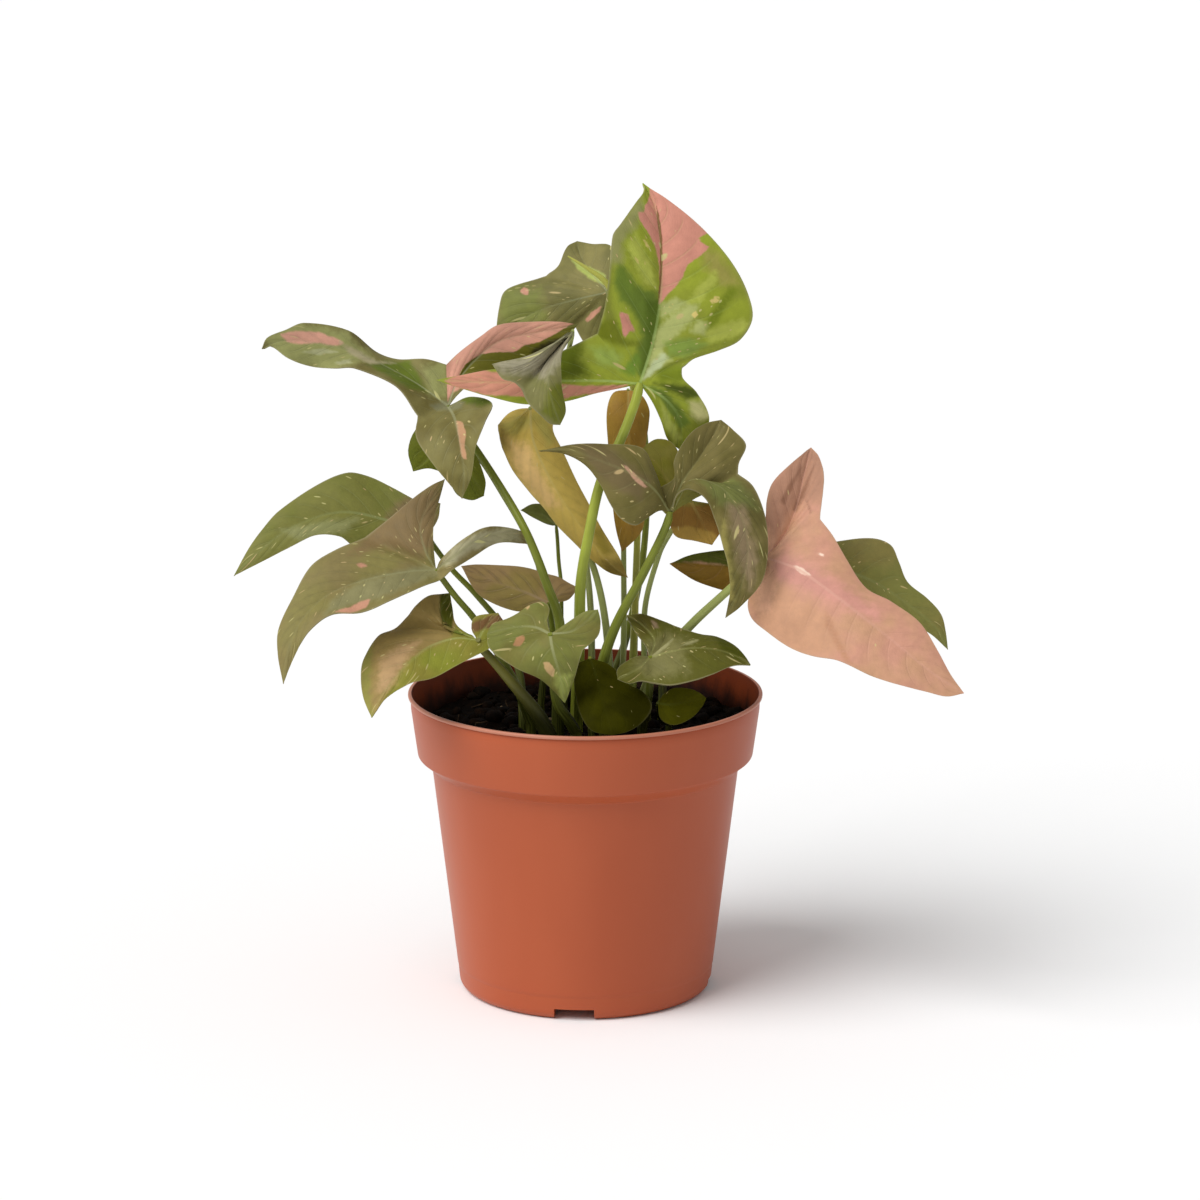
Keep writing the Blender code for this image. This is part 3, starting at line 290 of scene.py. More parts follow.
       "far": [(5.2, 23.4, -45), (4.3, 18.6, -46)], "notch": (-0.8, 13.9, -47)},
      {"near": [(-2.1, 9.8, -47), (-3.8, 3.7, -46)],
       "rib": [(-11, 13.9, -48), (-8.6, 5.4, -48), (-6.9, -4.2, -44)],
       "far": [(-11, 0.3, -45), (-15.7, 4.4, -46), (-23.1, 7.4, -46)], "notch": (-29.9, 11.8, -45)},
      {"near": [(-32.8, 15, -44)],
       "rib": [(-16.7, 21.5, -44), (-21.4, 21.8, -43.5), (-27, 21, -43.5), (-33.3, 19.3, -43)],
       "far": [(-31.6, 22.5, -42), (-26.2, 24.6, -41), (-22.4, 26.6, -40), (-19, 29, -39),
        (-14.5, 30.3, -38), (-12.2, 28.5, -39), (-13, 24, -43)]}]},
  "striped_leaf": {
    "joint": (-12.3, 29.8, -20), "foot": (-10, -8), "radii": (1.2, 1.6), "setBack": 5,
    "stem": [(-11.5, 24, -17), (-10.5, 15, -13), (-10, 5, -10)],
    "lobes": [
      {"near": [(-18, 27.4, -20), (-23.5, 27, -20), (-31.6, 29.8, -19), (-37, 33.5, -17)],
       "rib": [(-20.4, 33.5, -18), (-30.6, 37, -16), (-42, 42.3, -14)],
       "far": [(-35.6, 43, -12), (-27.5, 42.5, -12), (-18.7, 41.5, -12)], "notch": (-13.6, 39.9, -13)},
      {"near": [(-8.6, 38.5, -13)],
       "rib": [(-7.5, 33.5, -17), (-2.5, 34.9, -14)],
       "far": [(-5.9, 30.8, -17)]}]},
  "ochre_leaf": {
    "joint": (-18.7, 95.8, -8), "foot": (9, -9), "radii": (1.1, 1.7),
    "stem": [(-18.2, 91, -3.5), (-16.5, 82, -2.5), (-11, 68, -2), (-4, 54, -2), (2.7, 42, -4), (7, 22, -6)],
    "lobes": [
      {"near": [(-17.7, 99.5, -8)],
       "rib": [(-15.3, 98, -9), (-13, 101, -8)],
       "far": [(-9.9, 97.8, -8)], "notch": (-10.5, 92.4, -9)},
      {"near": [(-10.9, 88.3, -9), (-8.2, 82.3, -9), (-3, 71.4, -9), (1.6, 62.6, -9), (5, 56.2, -9),
        (11.4, 45.4, -9)],
       "rib": [(-17.7, 85, -12), (-11, 70, -13), (-1.8, 56, -13), (7, 44.3, -12), (14.5, 38.3, -9)],
       "far": [(8.4, 40, -9), (3.6, 43.5, -9), (-1.8, 48, -9), (-9, 55.2, -9), (-14, 62, -9),
        (-18.7, 67, -9), (-24.5, 74.5, -8)], "notch": (-28.2, 82.3, -8)},
      {"near": [(-29, 85.6, -8)],
       "rib": [(-23.8, 91.7, -10), (-29.6, 90, -8)],
       "far": [(-26, 94, -8), (-22, 95.5, -8)]}]},
  "hanging_leaf": {
    "joint": (14.5, 102, 5), "foot": (12, 3), "radii": (1.0, 1.3), "setBack": 5,
    "stem": [(14, 96, 8), (13.3, 84, 10), (13, 66, 10), (13, 45, 9), (13, 18, 6)],
    "lobes": [
      {"near": [(19, 100.2, 2), (21.6, 95.5, 0), (21.6, 91, -1), (20.5, 81.6, -2), (20.3, 64.7, -2),
        (19.3, 54.5, -2)],
       "rib": [(14.5, 91.7, -3), (15, 78, -5), (15, 61, -5), (12.4, 47, -2)],
       "far": [(10.5, 54.5, -2), (8.8, 68, -2), (7.7, 84.3, -1), (7.3, 95, 1), (9.5, 101, 4)]}]},
  "arching_leaf": {
    "joint": (28.7, 60.6, -25), "foot": (3, -21), "radii": (1.7, 2.4),
    "stem": [(27.8, 57, -25), (25, 50.5, -26), (18.5, 37.6, -26), (10.4, 22.3, -25), (5.5, 8, -23)],
    "lobes": [
      {"near": [(25, 61, -27), (21.2, 58.6, -30), (17, 56, -32), (12.1, 58.2, -32), (8.4, 63.3, -31),
        (5, 70, -30), (0, 76.3, -28), (-7.2, 80.2, -27)],
       "rib": [(23.6, 68, -28), (16.8, 73, -30), (5, 78, -29), (-5.2, 81.5, -28), (-16, 81.3, -27)],
       "far": [(-2.8, 83.5, -26), (7.7, 83.7, -24), (19, 82.3, -22), (23, 75.8, -22)],
        "notch": (25.5, 69, -23)},
      {"near": [(30, 72, -21), (30, 77.5, -18), (32, 82.3, -15), (36, 87.7, -12), (41, 90.7, -9)],
       "rib": [(32.5, 70, -22), (38, 78, -15), (43, 86, -9), (46, 91.8, -7)],
       "far": [(50, 88.5, -8), (54.4, 83.3, -10), (52, 77, -14)], "notch": (51.7, 73.5, -16)},
      {"near": [(56.8, 69.4, -18), (60.1, 62, -22), (61.8, 53.1, -27), (61.8, 45.4, -31), (59.5, 36.6, -34),
        (52.7, 28.6, -37)],
       "rib": [(35.4, 71.5, -26), (45.6, 69.3, -25), (52.4, 60, -28), (55, 48, -32), (52.8, 36, -36),
        (47.5, 24.7, -38)],
       "far": [(49, 33.9, -37), (48.3, 42.3, -35), (46.6, 48.7, -33), (44.2, 57.2, -31), (41, 65, -30),
        (35, 68.3, -29), (31, 66.5, -28)]}]},
  "shaded_leaf": {
    "joint": (35.4, 64.7, -12), "foot": (21, -2), "radii": (1.1, 1.4),
    "stem": [(33.5, 61, -9), (29, 54, -7), (25, 46.4, -6), (20, 26.4, -5)],
    "lobes": [
      {"near": [(45.3, 62, -14), (46.3, 55.2, -16)],
       "rib": [(38.8, 58.6, -14), (42.9, 49.4, -16)],
       "far": [(37.1, 50.8, -15), (30.4, 52.5, -14)], "notch": (28, 59, -13)},
      {"near": [(24.5, 63, -12), (21.5, 70, -12)],
       "rib": [(29.5, 69, -12), (24.5, 76.5, -11), (19, 81.9, -11)],
       "far": [(24, 85.3, -9), (29.5, 84, -8), (33, 76.5, -9)]}]},
  "pink_leaf": {
    "joint": (60.8, 45, -20), "foot": (17, -11), "radii": (1.6, 2.3),
    "stem": [(57.6, 42, -25), (48.3, 34, -21), (34, 20.5, -13), (24, 8, -10)],
    "lobes": [
      {"near": [(56, 37, -15), (48.3, 34, -11), (45, 34.5, -10), (37.5, 37, -9), (32.7, 40, -9)],
       "rib": [(52.4, 43.7, -16), (42.2, 42, -11), (28.5, 43, -9)],
       "far": [(35.4, 46, -10), (42.5, 47.3, -11), (50.7, 48.4, -13)], "notch": (58, 52, -15)},
      {"near": [(60.8, 58, -14), (61.5, 65, -11), (63.5, 70.7, -8), (70, 77.3, -5)],
       "rib": [(67.6, 53, -14), (71.7, 63, -9), (74, 73, -5), (76.4, 82.5, -2)],
       "far": [(79, 79.5, -4), (80.8, 73, -8), (80, 65, -13)], "notch": (79.4, 58.3, -17)},
      {"near": [(83.5, 53, -20), (88.6, 44.5, -26), (95.4, 34.5, -32), (103.8, 30, -36), (113, 23.5, -41),
        (119.4, 13.5, -46), (124, 5.2, -50)],
       "rib": [(64.6, 44, -23), (72.3, 41, -28), (83.8, 33, -36), (94.7, 24.5, -42), (104.5, 16.6, -46),
        (118.4, 5.4, -51), (128.2, -0.7, -53)],
       "far": [(122.5, -1.8, -54), (115.7, -0.3, -54), (107, 2, -54), (97, 5, -52), (85.5, 10.3, -49),
        (76.4, 12, -45), (69.3, 14.6, -40), (61.5, 20, -34), (56, 25, -29), (55, 31, -25)]}]},
  "far_right_leaf": {
    "joint": (69.3, 42.7, -7), "foot": (26, 7), "radii": (1.2, 1.6), "setBack": 14,
    "stem": [(66.5, 41.5, -2), (58, 41, 2), (48.5, 34.3, 4), (34, 21, 6), (27, 10, 7)],
    "lobes": [
      {"near": [(76, 48.6, -6), (84.5, 50.6, -6), (97, 51.7, -7), (103.4, 49.4, -8), (106.2, 43.7, -10),
        (109.2, 37, -12), (115.7, 31.5, -14), (120.4, 26, -16), (122, 20, -17)],
       "rib": [(82.8, 41.6, -10), (96.4, 37.6, -12), (110, 28.8, -16), (119, 21, -18), (122.8, 13.9, -18)],
       "far": [(116.5, 19.5, -18), (108.2, 23.4, -17), (96.4, 28, -15), (81, 30.8, -12)],
        "notch": (72, 33.5, -10)},
      {"near": [(67.6, 30.8, -9)],
       "rib": [(67, 36, -8), (62.5, 30.8, -8)],
       "far": [(63, 36, -7)]}]},
  "rim_right_leaf": {
    "joint": (21.9, 11.5, -32), "foot": (19, -27), "radii": (1.5, 2.0),
    "stem": [(22, 7, -30), (21.5, -2, -28.5)],
    "lobes": [
      {"near": [(21, 14.5, -31), (18.3, 18.3, -28), (15.3, 22.7, -24)],
       "rib": [(23.5, 17, -28), (18.9, 22.5, -23), (14, 25.7, -21)],
       "far": [(19.5, 26, -20), (26.6, 23.5, -20)], "notch": (33.4, 21, -21)},
      {"near": [(39.5, 19.3, -21), (44.5, 18.4, -21), (50.3, 15.6, -22), (54.1, 11.8, -24)],
       "rib": [(28.7, 13.4, -31), (35.8, 14.6, -29), (43.6, 14.2, -27), (50, 12.3, -26), (56, 8.9, -27)],
       "far": [(50, 8.6, -30), (43.2, 5.8, -35), (36.8, 3.4, -38), (29.3, 2, -41)],
        "notch": (23.3, 2.7, -42)},
      {"near": [(18.5, 3.4, -42), (14.5, 2.6, -42)],
       "rib": [(18.5, 8, -38), (11, 4, -42)],
       "far": [(10.8, 7.3, -40), (14.5, 10.4, -37), (18.5, 12, -34)]}]},
  "inner_leaf": {
    "joint": (1.6, 11.2, -30), "foot": (6, -31), "radii": (1.2, 1.6),
    "stem": [(1.8, 7, -27), (3, 0, -28), (4.5, -7, -29)],
    "lobes": [
      {"near": [(8.4, 8.8, -31), (14.5, 2.4, -34), (19.5, -0.3, -36), (22.6, -5, -39), (20.2, -9.8, -42),
        (15, -13.5, -45)],
       "rib": [(4, 3.7, -35), (6, -4.7, -41), (9, -15, -47)],
       "far": [(2.3, -13.5, -46), (-1.3, -8.8, -43), (-3, -3, -39), (-3.8, 3, -35), (-2.8, 8.8, -32)]}]},
  "low_leaf": {
    "joint": (24.5, -4.1, -33), "foot": (28, -18), "radii": (1.0, 1.3),
    "stem": [(25, -7, -29), (26, -10, -25)],
    "lobes": [
      {"near": [(26.6, -1, -32), (30, 1, -30), (34.8, 0.8, -28), (38.8, -0.6, -27)],
       "rib": [(28.5, -4.7, -33), (34.8, -3.7, -30), (41, -2.4, -27)],
       "far": [(39.8, -5, -29), (36.1, -9, -33), (30, -11.5, -36), (25.5, -9.5, -36)]}]},
  "small_leaf": {
    "joint": (-9.9, 56.2, 5), "foot": (-7, 9), "radii": (0.8, 1.1), "setBack": 6,
    "stem": [(-9.5, 52, 6.5), (-9, 44, 6), (-8.2, 36, 4), (-8, 18, 5)],
    "lobes": [
      {"near": [(-12.6, 56.5, 4), (-17, 58.5, 3)],
       "rib": [(-15.3, 60, 5), (-21.8, 61.3, 2)],
       "far": [(-18, 63.3, 5), (-14, 63, 6), (-10.5, 60, 6)]}]},
}
rolledLeaf = {
  "route": [(-5.9, 147.2, 14), (0, 143.5, 12), (7.3, 138, 10), (12, 128, 10), (15.5, 112, 13), (18, 92, 16),
    (18, 66, 16), (17, 34, 15)],
  "foot": (16, 14), "radii": (0.25, 1.2, 2.0, 1.9, 1.5, 1.2, 1.15, 1.25, 1.4, 1.4)}

# Blades: mm, shares of the half width or of the rib's length, and turns of the vein pattern.
bladeShape = {"rowStep": 1.0, "fewestRows": 8, "columnStep": 1.2, "columns": (7, 24), "crowding": 1.25,
              "weld": 0.05, "smoothings": 2, "sharpAngle": 55,
              "thickness": 0.5, "ribRelief": 0.55, "ribWidth": 0.8, "crown": 0.055, "quilt": 0.28,
              "veinGap": 7.0, "veinSweep": 1.1, "veinCurl": 0.5, "veinShift": 0.3,
              "wave": 0.35, "waveLength": 4.25, "baseEase": 6.0, "tipEase": 0.2}

# What a leaf has where it names nothing else: relief of the quilting, how strongly veins, the painted shade
# in the furrows and the dry margin show, how much of the rib shows at the tip and from which lobe on, and the
# gloss of the cuticle.
plainLook = {"relief": 1.0, "veins": 0.1, "furrow": 0.06, "margin": 0.35, "ribEnd": 0.12, "ribFrom": 0,
             "sheen": 0.2, "patches": []}

# Upper, second, under and rib colour, share of fleck spots kept, and patches: colour, softness of the edge in
# mm, outlines in pixels of the photograph, and the lobes they may show on.
leafLooks = {
  "crown_leaf": {"relief": 1.8, "upper": "#98A332", "second": "#868E30", "under": "#8A9A50",
    "rib": "#A9C070", "flecks": 0.25,
    "patches": [
      ("#667A28", 1.5, [[(618, 262), (626, 268), (634, 283), (645, 290), (659, 292), (659, 320), (656, 350),
        (645, 378), (637, 376), (636, 350), (642, 335), (634, 312), (620, 300), (614, 285)]], (1,)),
      ("#546818", 1.5, [[(646, 300), (660, 300), (658, 345), (646, 376), (641, 374), (646, 340)]], (1,)),
      ("#929258", 2.0, [[(606, 236), (640, 198), (648, 212), (636, 226), (624, 240), (622, 262),
        (606, 266)]], (1,)),
      ("#7A802C", 1.5, [[(600, 266), (612, 262), (611, 300), (617, 326), (604, 330)]], (1,)),
      ("#6E7618", 1.5, [[(598, 322), (616, 318), (624, 338), (642, 344), (622, 347), (606, 341),
        (592, 340)]], (1,)),
      ("#8FA048", 2.0, [[(590, 348), (606, 346), (622, 356), (620, 370), (598, 364)]], (0, 1)),
      ("#6F8B2E", 1.5, [[(622, 370), (636, 378), (641, 352), (633, 356)]], (0, 1)),
      ("#9A9448", 2.5, [[(700, 248), (712, 248), (734, 272), (738, 284), (722, 286), (706, 268)]], (1,)),
      ("#73801C", 1.5, [[(700, 328), (716, 306), (730, 286), (738, 290), (722, 314), (708, 336)],
        [(655, 366), (690, 364), (684, 380), (660, 384)]], (1, 2)),
      ("#A8AE68", 1.2, [[(657, 330), (668, 318), (684, 306), (700, 302), (694, 318), (676, 336), (663, 350),
        (672, 360), (655, 372), (643, 380), (652, 352)], [(661, 303), (676, 298), (690, 304), (672, 314),
        (661, 318)], [(690, 332), (698, 320), (708, 322), (706, 335)]], (1,)),
      ("#AEB64E", 1.2, [[(706, 330), (742, 319), (750, 324), (738, 335), (708, 344)], [(688, 303),
        (700, 283), (716, 270), (718, 280), (700, 302)], [(626, 244), (636, 234), (650, 262), (657, 288),
        (645, 284), (634, 262)]], (1,)),
      ("#7E933E", 1.5, [[(664, 342), (690, 338), (708, 344), (690, 356), (668, 357)]], (1,)),
      ("#B8C290", 0.8, [[(643, 379), (652, 362), (664, 352), (668, 358), (658, 370)]], (1,)),
      # painted shade: the left basal lobe darkened where its fold lies in shade
      ("#525C06", 2.5, [[(556, 330), (582, 338), (580, 358), (590, 376), (555, 384)]], (0,)),
      # painted shade: a darker patch in the V between the main lobe and the right basal lobe
      ("#4E5A12", 1.2, [[(654, 383), (674, 384), (692, 386), (700, 396), (688, 399), (670, 392)]], (2,)),
      ("#66792A", 1.0, [[(650, 387), (664, 390), (680, 406), (690, 424), (680, 428), (664, 404)]], (2,)),
      ("#BEBA7C", 1.5, [[(690, 402), (702, 400), (710, 418), (700, 421), (691, 414)]], (2,)),
      ("#AEB654", 0.8, [[(660, 400), (666, 410), (682, 438), (674, 444), (664, 424)]], (2,)),
      ("#CB8B78", 0.35, [[(650, 184), (664, 188), (684, 198), (702, 216), (710, 232), (700, 237), (697, 240),
        (710, 247), (700, 256), (688, 264), (683, 277), (676, 286), (668, 294), (659, 305), (660, 280),
        (659, 262), (655, 246), (648, 232), (640, 222), (638, 212), (644, 212), (645, 206), (649, 198)],
        [(619, 312), (628, 314), (631, 322), (636, 333), (630, 331), (624, 339), (622, 328)]], (1,)),
      # painted shade: a dark line along the shaded side of the midrib
      ("#7E5436", 0.15, [[(656, 204), (659, 214), (662, 236), (662.6, 262), (661.5, 284), (659, 300),
        (658, 300), (660, 272), (660, 240), (657, 218)]], (1,)),
      ("#C88A72", 0.5, [[(444, 381), (462, 373), (480, 369), (498, 372), (520, 378), (545, 383), (562, 384),
        (580, 386), (628, 385), (612, 391), (590, 394), (574, 396), (560, 400), (530, 397), (505, 396),
        (486, 395), (470, 391), (455, 387)]], (0,)),
      ("#D2BE72", 0.3, [[(709, 301), (714, 296), (720, 297), (719, 302), (712, 304)], [(691, 315),
        (696, 311), (699, 314), (694, 319)], [(642, 238), (646, 241), (651, 249), (647, 248)], [(634, 256),
        (638, 259), (640, 265), (636, 262)], [(643, 258), (647, 264), (645, 265)], [(668, 306), (673, 304),
        (672, 309)]], (1,))]},
  "back_leaf": {"upper": "#716D3C", "second": "#7E7746", "under": "#7F8258", "rib": "#8B8E68",
    "flecks": 0.35,
    "patches": [
      ("#777C3C", 3.0, [[(498, 285), (540, 290), (548, 325), (498, 325)]], (0, 1)),
      ("#A3AE5A", 0.5, [[(570, 259), (585, 265), (606, 275), (605, 285), (590, 279), (577, 268)]], (1, 2)),
      ("#C48F76", 0.3, [[(520, 290), (524, 287), (529, 289), (528, 295), (521, 294)], [(585, 320),
        (592, 312), (601, 306), (600, 312), (588, 322)]], (0, 1))]},
  "folded_leaf": {"upper": "#7C784A", "second": "#71713C", "under": "#76783F", "rib": "#9A9A78",
    "flecks": 0.15,
    "patches": [
      ("#948D74", 2.5, [[(490, 362), (520, 356), (545, 350), (565, 333), (572, 340), (562, 362), (545, 378),
        (520, 372), (500, 372)]], (0, 1)),
      ("#666A20", 1.5, [[(548, 388), (567, 380), (569, 415), (560, 426), (540, 412), (548, 400)]], (0,))]},
  "star_leaf": {"upper": "#6E6534", "second": "#7B7444", "under": "#5F6B33", "rib": "#9A9C78",
    "flecks": 0.25,
    "patches": [
      ("#91925A", 2.0, [[(262, 335), (300, 322), (345, 330), (372, 358), (330, 372), (280, 362)],
        [(423, 366), (446, 362), (447, 398), (430, 396)]], (1, 2)),
      ("#5D6A1E", 1.2, [[(366, 364), (385, 361), (410, 361), (418, 374), (427, 392), (408, 388), (385, 374)],
        [(448, 398), (456, 384), (472, 388), (500, 402), (480, 406)]], (0, 1)),
      ("#CF9A84", 0.5, [[(280, 334), (296, 331), (318, 332), (335, 338), (345, 344), (332, 346), (318, 343),
        (300, 344), (287, 342)]], (1,)),
      # painted highlight: a pale band along the lit rib of the main lobe
      ("#A69C78", 0.8, [[(340, 342), (356, 350), (376, 361), (396, 363), (370, 364), (350, 354)]], (1,)),
      ("#C8917C", 0.6, [[(442, 392), (446, 360), (470, 340), (496, 322), (540, 314), (604, 306), (600, 330),
        (560, 350), (500, 375), (452, 392), (447, 405)]], (2,)),
      ("#5D5A14", 0.3, [[(458, 378), (465, 364), (480, 354), (500, 352), (515, 352), (525, 345), (540, 342),
        (556, 333), (570, 325), (588, 320), (590, 345), (560, 362), (530, 382), (490, 384)]], (2,)),
      ("#2C2708", 1.0, [[(528, 352), (545, 343), (562, 338), (560, 346), (542, 356)]], (2,)),
      ("#7C7A58", 0.8, [[(430, 405), (442, 402), (452, 400), (464, 402), (462, 409), (450, 411),
        (436, 410)]], (0, 1, 2)),
      ("#A5A57A", 0.5, [[(300, 352), (322, 348), (338, 352), (320, 355)], [(335, 362), (350, 359),
        (352, 363), (338, 365)]], (1,)),
      ("#B98E6A", 0.3, [[(456, 421), (462, 421), (466, 432), (465, 445), (467, 460), (462, 458),
        (459, 440)]], (0,))]},
  "tucked_leaf": {"upper": "#70761F", "second": "#62691C", "under": "#7C8040", "rib": "#8D9450",
    "flecks": 0.05},
  "left_leaf": {"upper": "#85784A", "second": "#7D7542", "under": "#7B7F55", "rib": "#8C8A62", "flecks": 0.3,
    "patches": [
      ("#847F56", 1.5, [[(440, 560), (400, 571), (362, 580), (332, 600), (325, 614), (350, 606), (380, 598),
        (410, 586), (440, 574)]], (1,)),
      ("#7A6642", 2.5, [[(395, 505), (440, 480), (434, 545), (420, 556), (385, 548), (350, 556),
        (360, 540)]], (1, 2)),
      # painted light: the lit top of the basal lobe made paler
      ("#A6A07C", 1.2, [[(440, 566), (452, 547), (480, 532), (520, 524), (520, 540), (472, 550),
        (450, 566)]], (0,)),
      ("#C18D72", 0.4, [[(334, 612), (350, 607), (362, 601), (370, 599), (367, 607), (352, 613)],
        [(356, 564), (362, 562), (368, 566), (360, 568)]], (1,))]},
  "far_left_leaf": {"upper": "#7B7A3C", "second": "#6C6E30", "under": "#7E8557", "rib": "#8D9764",
    "flecks": 0.35,
    "patches": [
      ("#8A8B58", 1.5, [[(280, 530), (320, 522), (360, 518), (345, 532), (300, 540)]], (1,)),
      ("#7F6B4A", 2.5, [[(395, 505), (440, 480), (436, 545), (420, 560), (375, 545)]], (0, 1, 2))]},
  "rim_left_leaf": {"upper": "#8E8638", "second": "#82852E", "under": "#6D7A2C", "rib": "#A2A864",
    "flecks": 0.35,
    "patches": [
      ("#97804A", 1.0, [[(360, 716), (358, 660), (372, 635), (398, 620), (420, 600), (446, 586), (460, 620),
        (450, 638), (425, 650), (405, 662), (388, 690), (376, 714)]], (1, 2)),
      ("#B8966A", 2.0, [[(380, 660), (400, 645), (420, 642), (405, 662), (388, 690), (378, 690)]], (1,)),
      ("#8A8440", 1.5, [[(358, 716), (358, 660), (372, 638), (372, 660), (370, 690), (374, 716)]], (1,)),
      ("#4F5108", 0.5, [[(440, 590), (454, 590), (452, 634), (442, 625), (440, 605)]], (1, 2)),
      ("#7A5A36", 0.8, [[(466, 634), (472, 622), (490, 616), (506, 614), (504, 626), (482, 630)]], (0,))]},
  "spotted_leaf": {"upper": "#787338", "second": "#6F7236", "under": "#7F8457", "rib": "#A0A276",
    "flecks": 0.25,
    "patches": [
      ("#98A052", 1.5, [[(555, 675), (572, 675), (566, 704), (560, 702)]], (1,)),
      ("#B0835A", 0.3, [[(513, 645), (517, 637), (524, 635), (525, 640), (518, 648)]], (1, 2)),
      ("#B99A6A", 0.3, [[(543, 662), (549, 662), (555, 670), (553, 677), (546, 672)], [(523, 604),
        (528, 603), (531, 607), (526, 610)]], (1, 2))]},
  "striped_leaf": {"upper": "#A08458", "second": "#8C7A42", "under": "#857A52", "rib": "#A08868",
    "flecks": 0.05, "veins": 0.3, "furrow": 0.2},
  "ochre_leaf": {"upper": "#CBAF58", "second": "#BDA24E", "under": "#A8965A", "rib": "#B8A868",
    "flecks": 0.08,
    "patches": [
      ("#B0A252", 2.0, [[(498, 424), (515, 416), (545, 410), (556, 440), (548, 446), (535, 422), (512, 436),
        (500, 436)]], (0, 1, 2)),
      ("#DDB876", 2.5, [[(506, 440), (528, 446), (545, 480), (560, 505), (548, 508), (528, 488),
        (512, 462)]], (0, 1, 2)),
      ("#A08C38", 1.5, [[(592, 530), (602, 528), (612, 552), (604, 556), (596, 545)]], (0, 1, 2)),
      ("#8A7434", 2.0, [[(600, 560), (628, 560), (630, 580), (605, 575)], [(498, 420), (506, 430),
        (510, 450), (498, 450)]], (0, 1, 2))]},
  "hanging_leaf": {"upper": "#A88434", "second": "#9C7630", "under": "#9C8046", "rib": "#A78F50",
    "flecks": 0.05},
  "arching_leaf": {"upper": "#686030", "second": "#72683A", "under": "#84823A", "rib": "#8C8C5C",
    "flecks": 0.4,
    "patches": [
      ("#6C5E3C", 2.0, [[(575, 440), (605, 445), (650, 480), (640, 500), (600, 480)]], (0,)),
      ("#70743C", 2.0, [[(700, 480), (740, 480), (762, 510), (720, 505)]], (2,)),
      ("#8E8446", 1.2, [[(718, 540), (724, 520), (730, 560), (734, 600), (726, 600)]], (2,)),
      ("#867456", 2.5, [[(728, 505), (745, 505), (758, 560), (750, 590), (738, 560)]], (2,)),
      ("#BE9478", 0.3, [[(622, 464), (628, 467), (638, 477), (647, 487), (644, 488), (634, 480)]], (0,))]},
  "shaded_leaf": {"upper": "#88803A", "second": "#6E6A18", "under": "#8F7636", "rib": "#A38D4E",
    "flecks": 0.05,
    "patches": [
      ("#8C672C", 1.0, [[(660, 505), (722, 505), (722, 545), (660, 545)]], (0,)),
      ("#AA883E", 0.8, [[(668, 528), (690, 526), (716, 534), (718, 545), (670, 540)]], (0,))]},
  "pink_leaf": {"relief": 1.5, "upper": "#C79877", "second": "#C08C76", "under": "#86705A", "rib": "#D2A08E",
    "flecks": 0.03, "margin": 0.2, "ribEnd": 0.22, "ribFrom": 1, "furrow": 0.03, "veins": 0.06,
    "patches": [
      ("#C98F80", 3.0, [[(765, 560), (785, 552), (812, 566), (850, 590), (880, 612), (880, 622), (840, 606),
        (790, 586), (766, 576)]], (2,)),
      ("#BE8F70", 3.0, [[(742, 600), (760, 580), (790, 592), (830, 615), (850, 650), (800, 655),
        (765, 635)]], (2,)),
      # painted light: paler patches over the cast shadow from the arching leaf and over the shaded fold of
      # the top lobe
      ("#D6A384", 2.0, [[(757, 590), (760, 560), (772, 556), (776, 588), (768, 612), (758, 612)],
        [(764, 556), (764, 528), (776, 512), (790, 508), (784, 536), (778, 556)]], (1, 2)),
      # painted shade: a darker line along a crease of the lower lobe
      ("#B28264", 1.0, [[(826, 610), (836, 632), (843, 648), (852, 664), (846, 662), (836, 646),
        (826, 626)]], (2,)),
      ("#AC8068", 2.0, [[(764, 524), (768, 488), (790, 460), (806, 446), (824, 456), (826, 484), (822, 506),
        (800, 500), (786, 520), (776, 540)]], (1,)),
      ("#8E6650", 0.7, [[(780, 502), (790, 482), (802, 466), (796, 480), (785, 504)], [(792, 510),
        (800, 494), (814, 466), (806, 492), (796, 512)], [(806, 500), (812, 512), (810, 513)]], (1,)),
      # painted highlight: small glints on the lower lobe
      ("#EBCDB8", 0.3, [[(793, 565), (803, 568), (812, 576), (804, 575), (796, 570)], [(816, 552),
        (825, 555), (822, 557)]], (2,)),
      ("#7A5C1C", 0.5, [[(660, 566), (672, 560), (700, 564), (740, 566), (760, 590), (660, 590)]], (0,)),
      ("#4B4F0A", 0.8, [[(660, 562), (680, 548), (740, 545), (755, 560), (728, 566), (700, 562),
        (680, 563)]], (0,))]},
  "far_right_leaf": {"upper": "#837A42", "second": "#74743A", "under": "#76804F", "rib": "#8A9560",
    "flecks": 0.3},
  "rim_right_leaf": {"upper": "#605E22", "second": "#58581C", "under": "#7F8A52", "rib": "#8E8E54",
    "flecks": 0.6, "ribEnd": 0.3, "veins": 0.08, "margin": 0.5,
    "patches": [
      ("#787444", 3.0, [[(638, 657), (650, 642), (668, 632), (688, 642), (684, 656), (686, 672), (650, 680),
        (636, 668)]], (0, 1, 2)),
      ("#9A9668", 0.6, [[(651, 656), (660, 646), (673, 639), (666, 648), (656, 657)], [(680, 646),
        (690, 641), (698, 640), (688, 645)]], (1, 2)),
      ("#4C5008", 1.5, [[(712, 634), (730, 640), (747, 656), (738, 661), (722, 650)]], (0, 1, 2)),
      ("#504A12", 1.5, [[(634, 610), (652, 614), (660, 622), (648, 634), (640, 640)]], (0, 1, 2)),
      ("#8A7458", 0.5, [[(651, 620), (656, 622), (659, 628), (654, 628)]], (0, 1, 2))]},
  # painted shade: the inner and the low leaf are coloured nearly black olive, as they lie in the pot's shade
  "inner_leaf": {"upper": "#2C2B02", "second": "#3A3904", "under": "#5A6230", "rib": "#3C3E10",
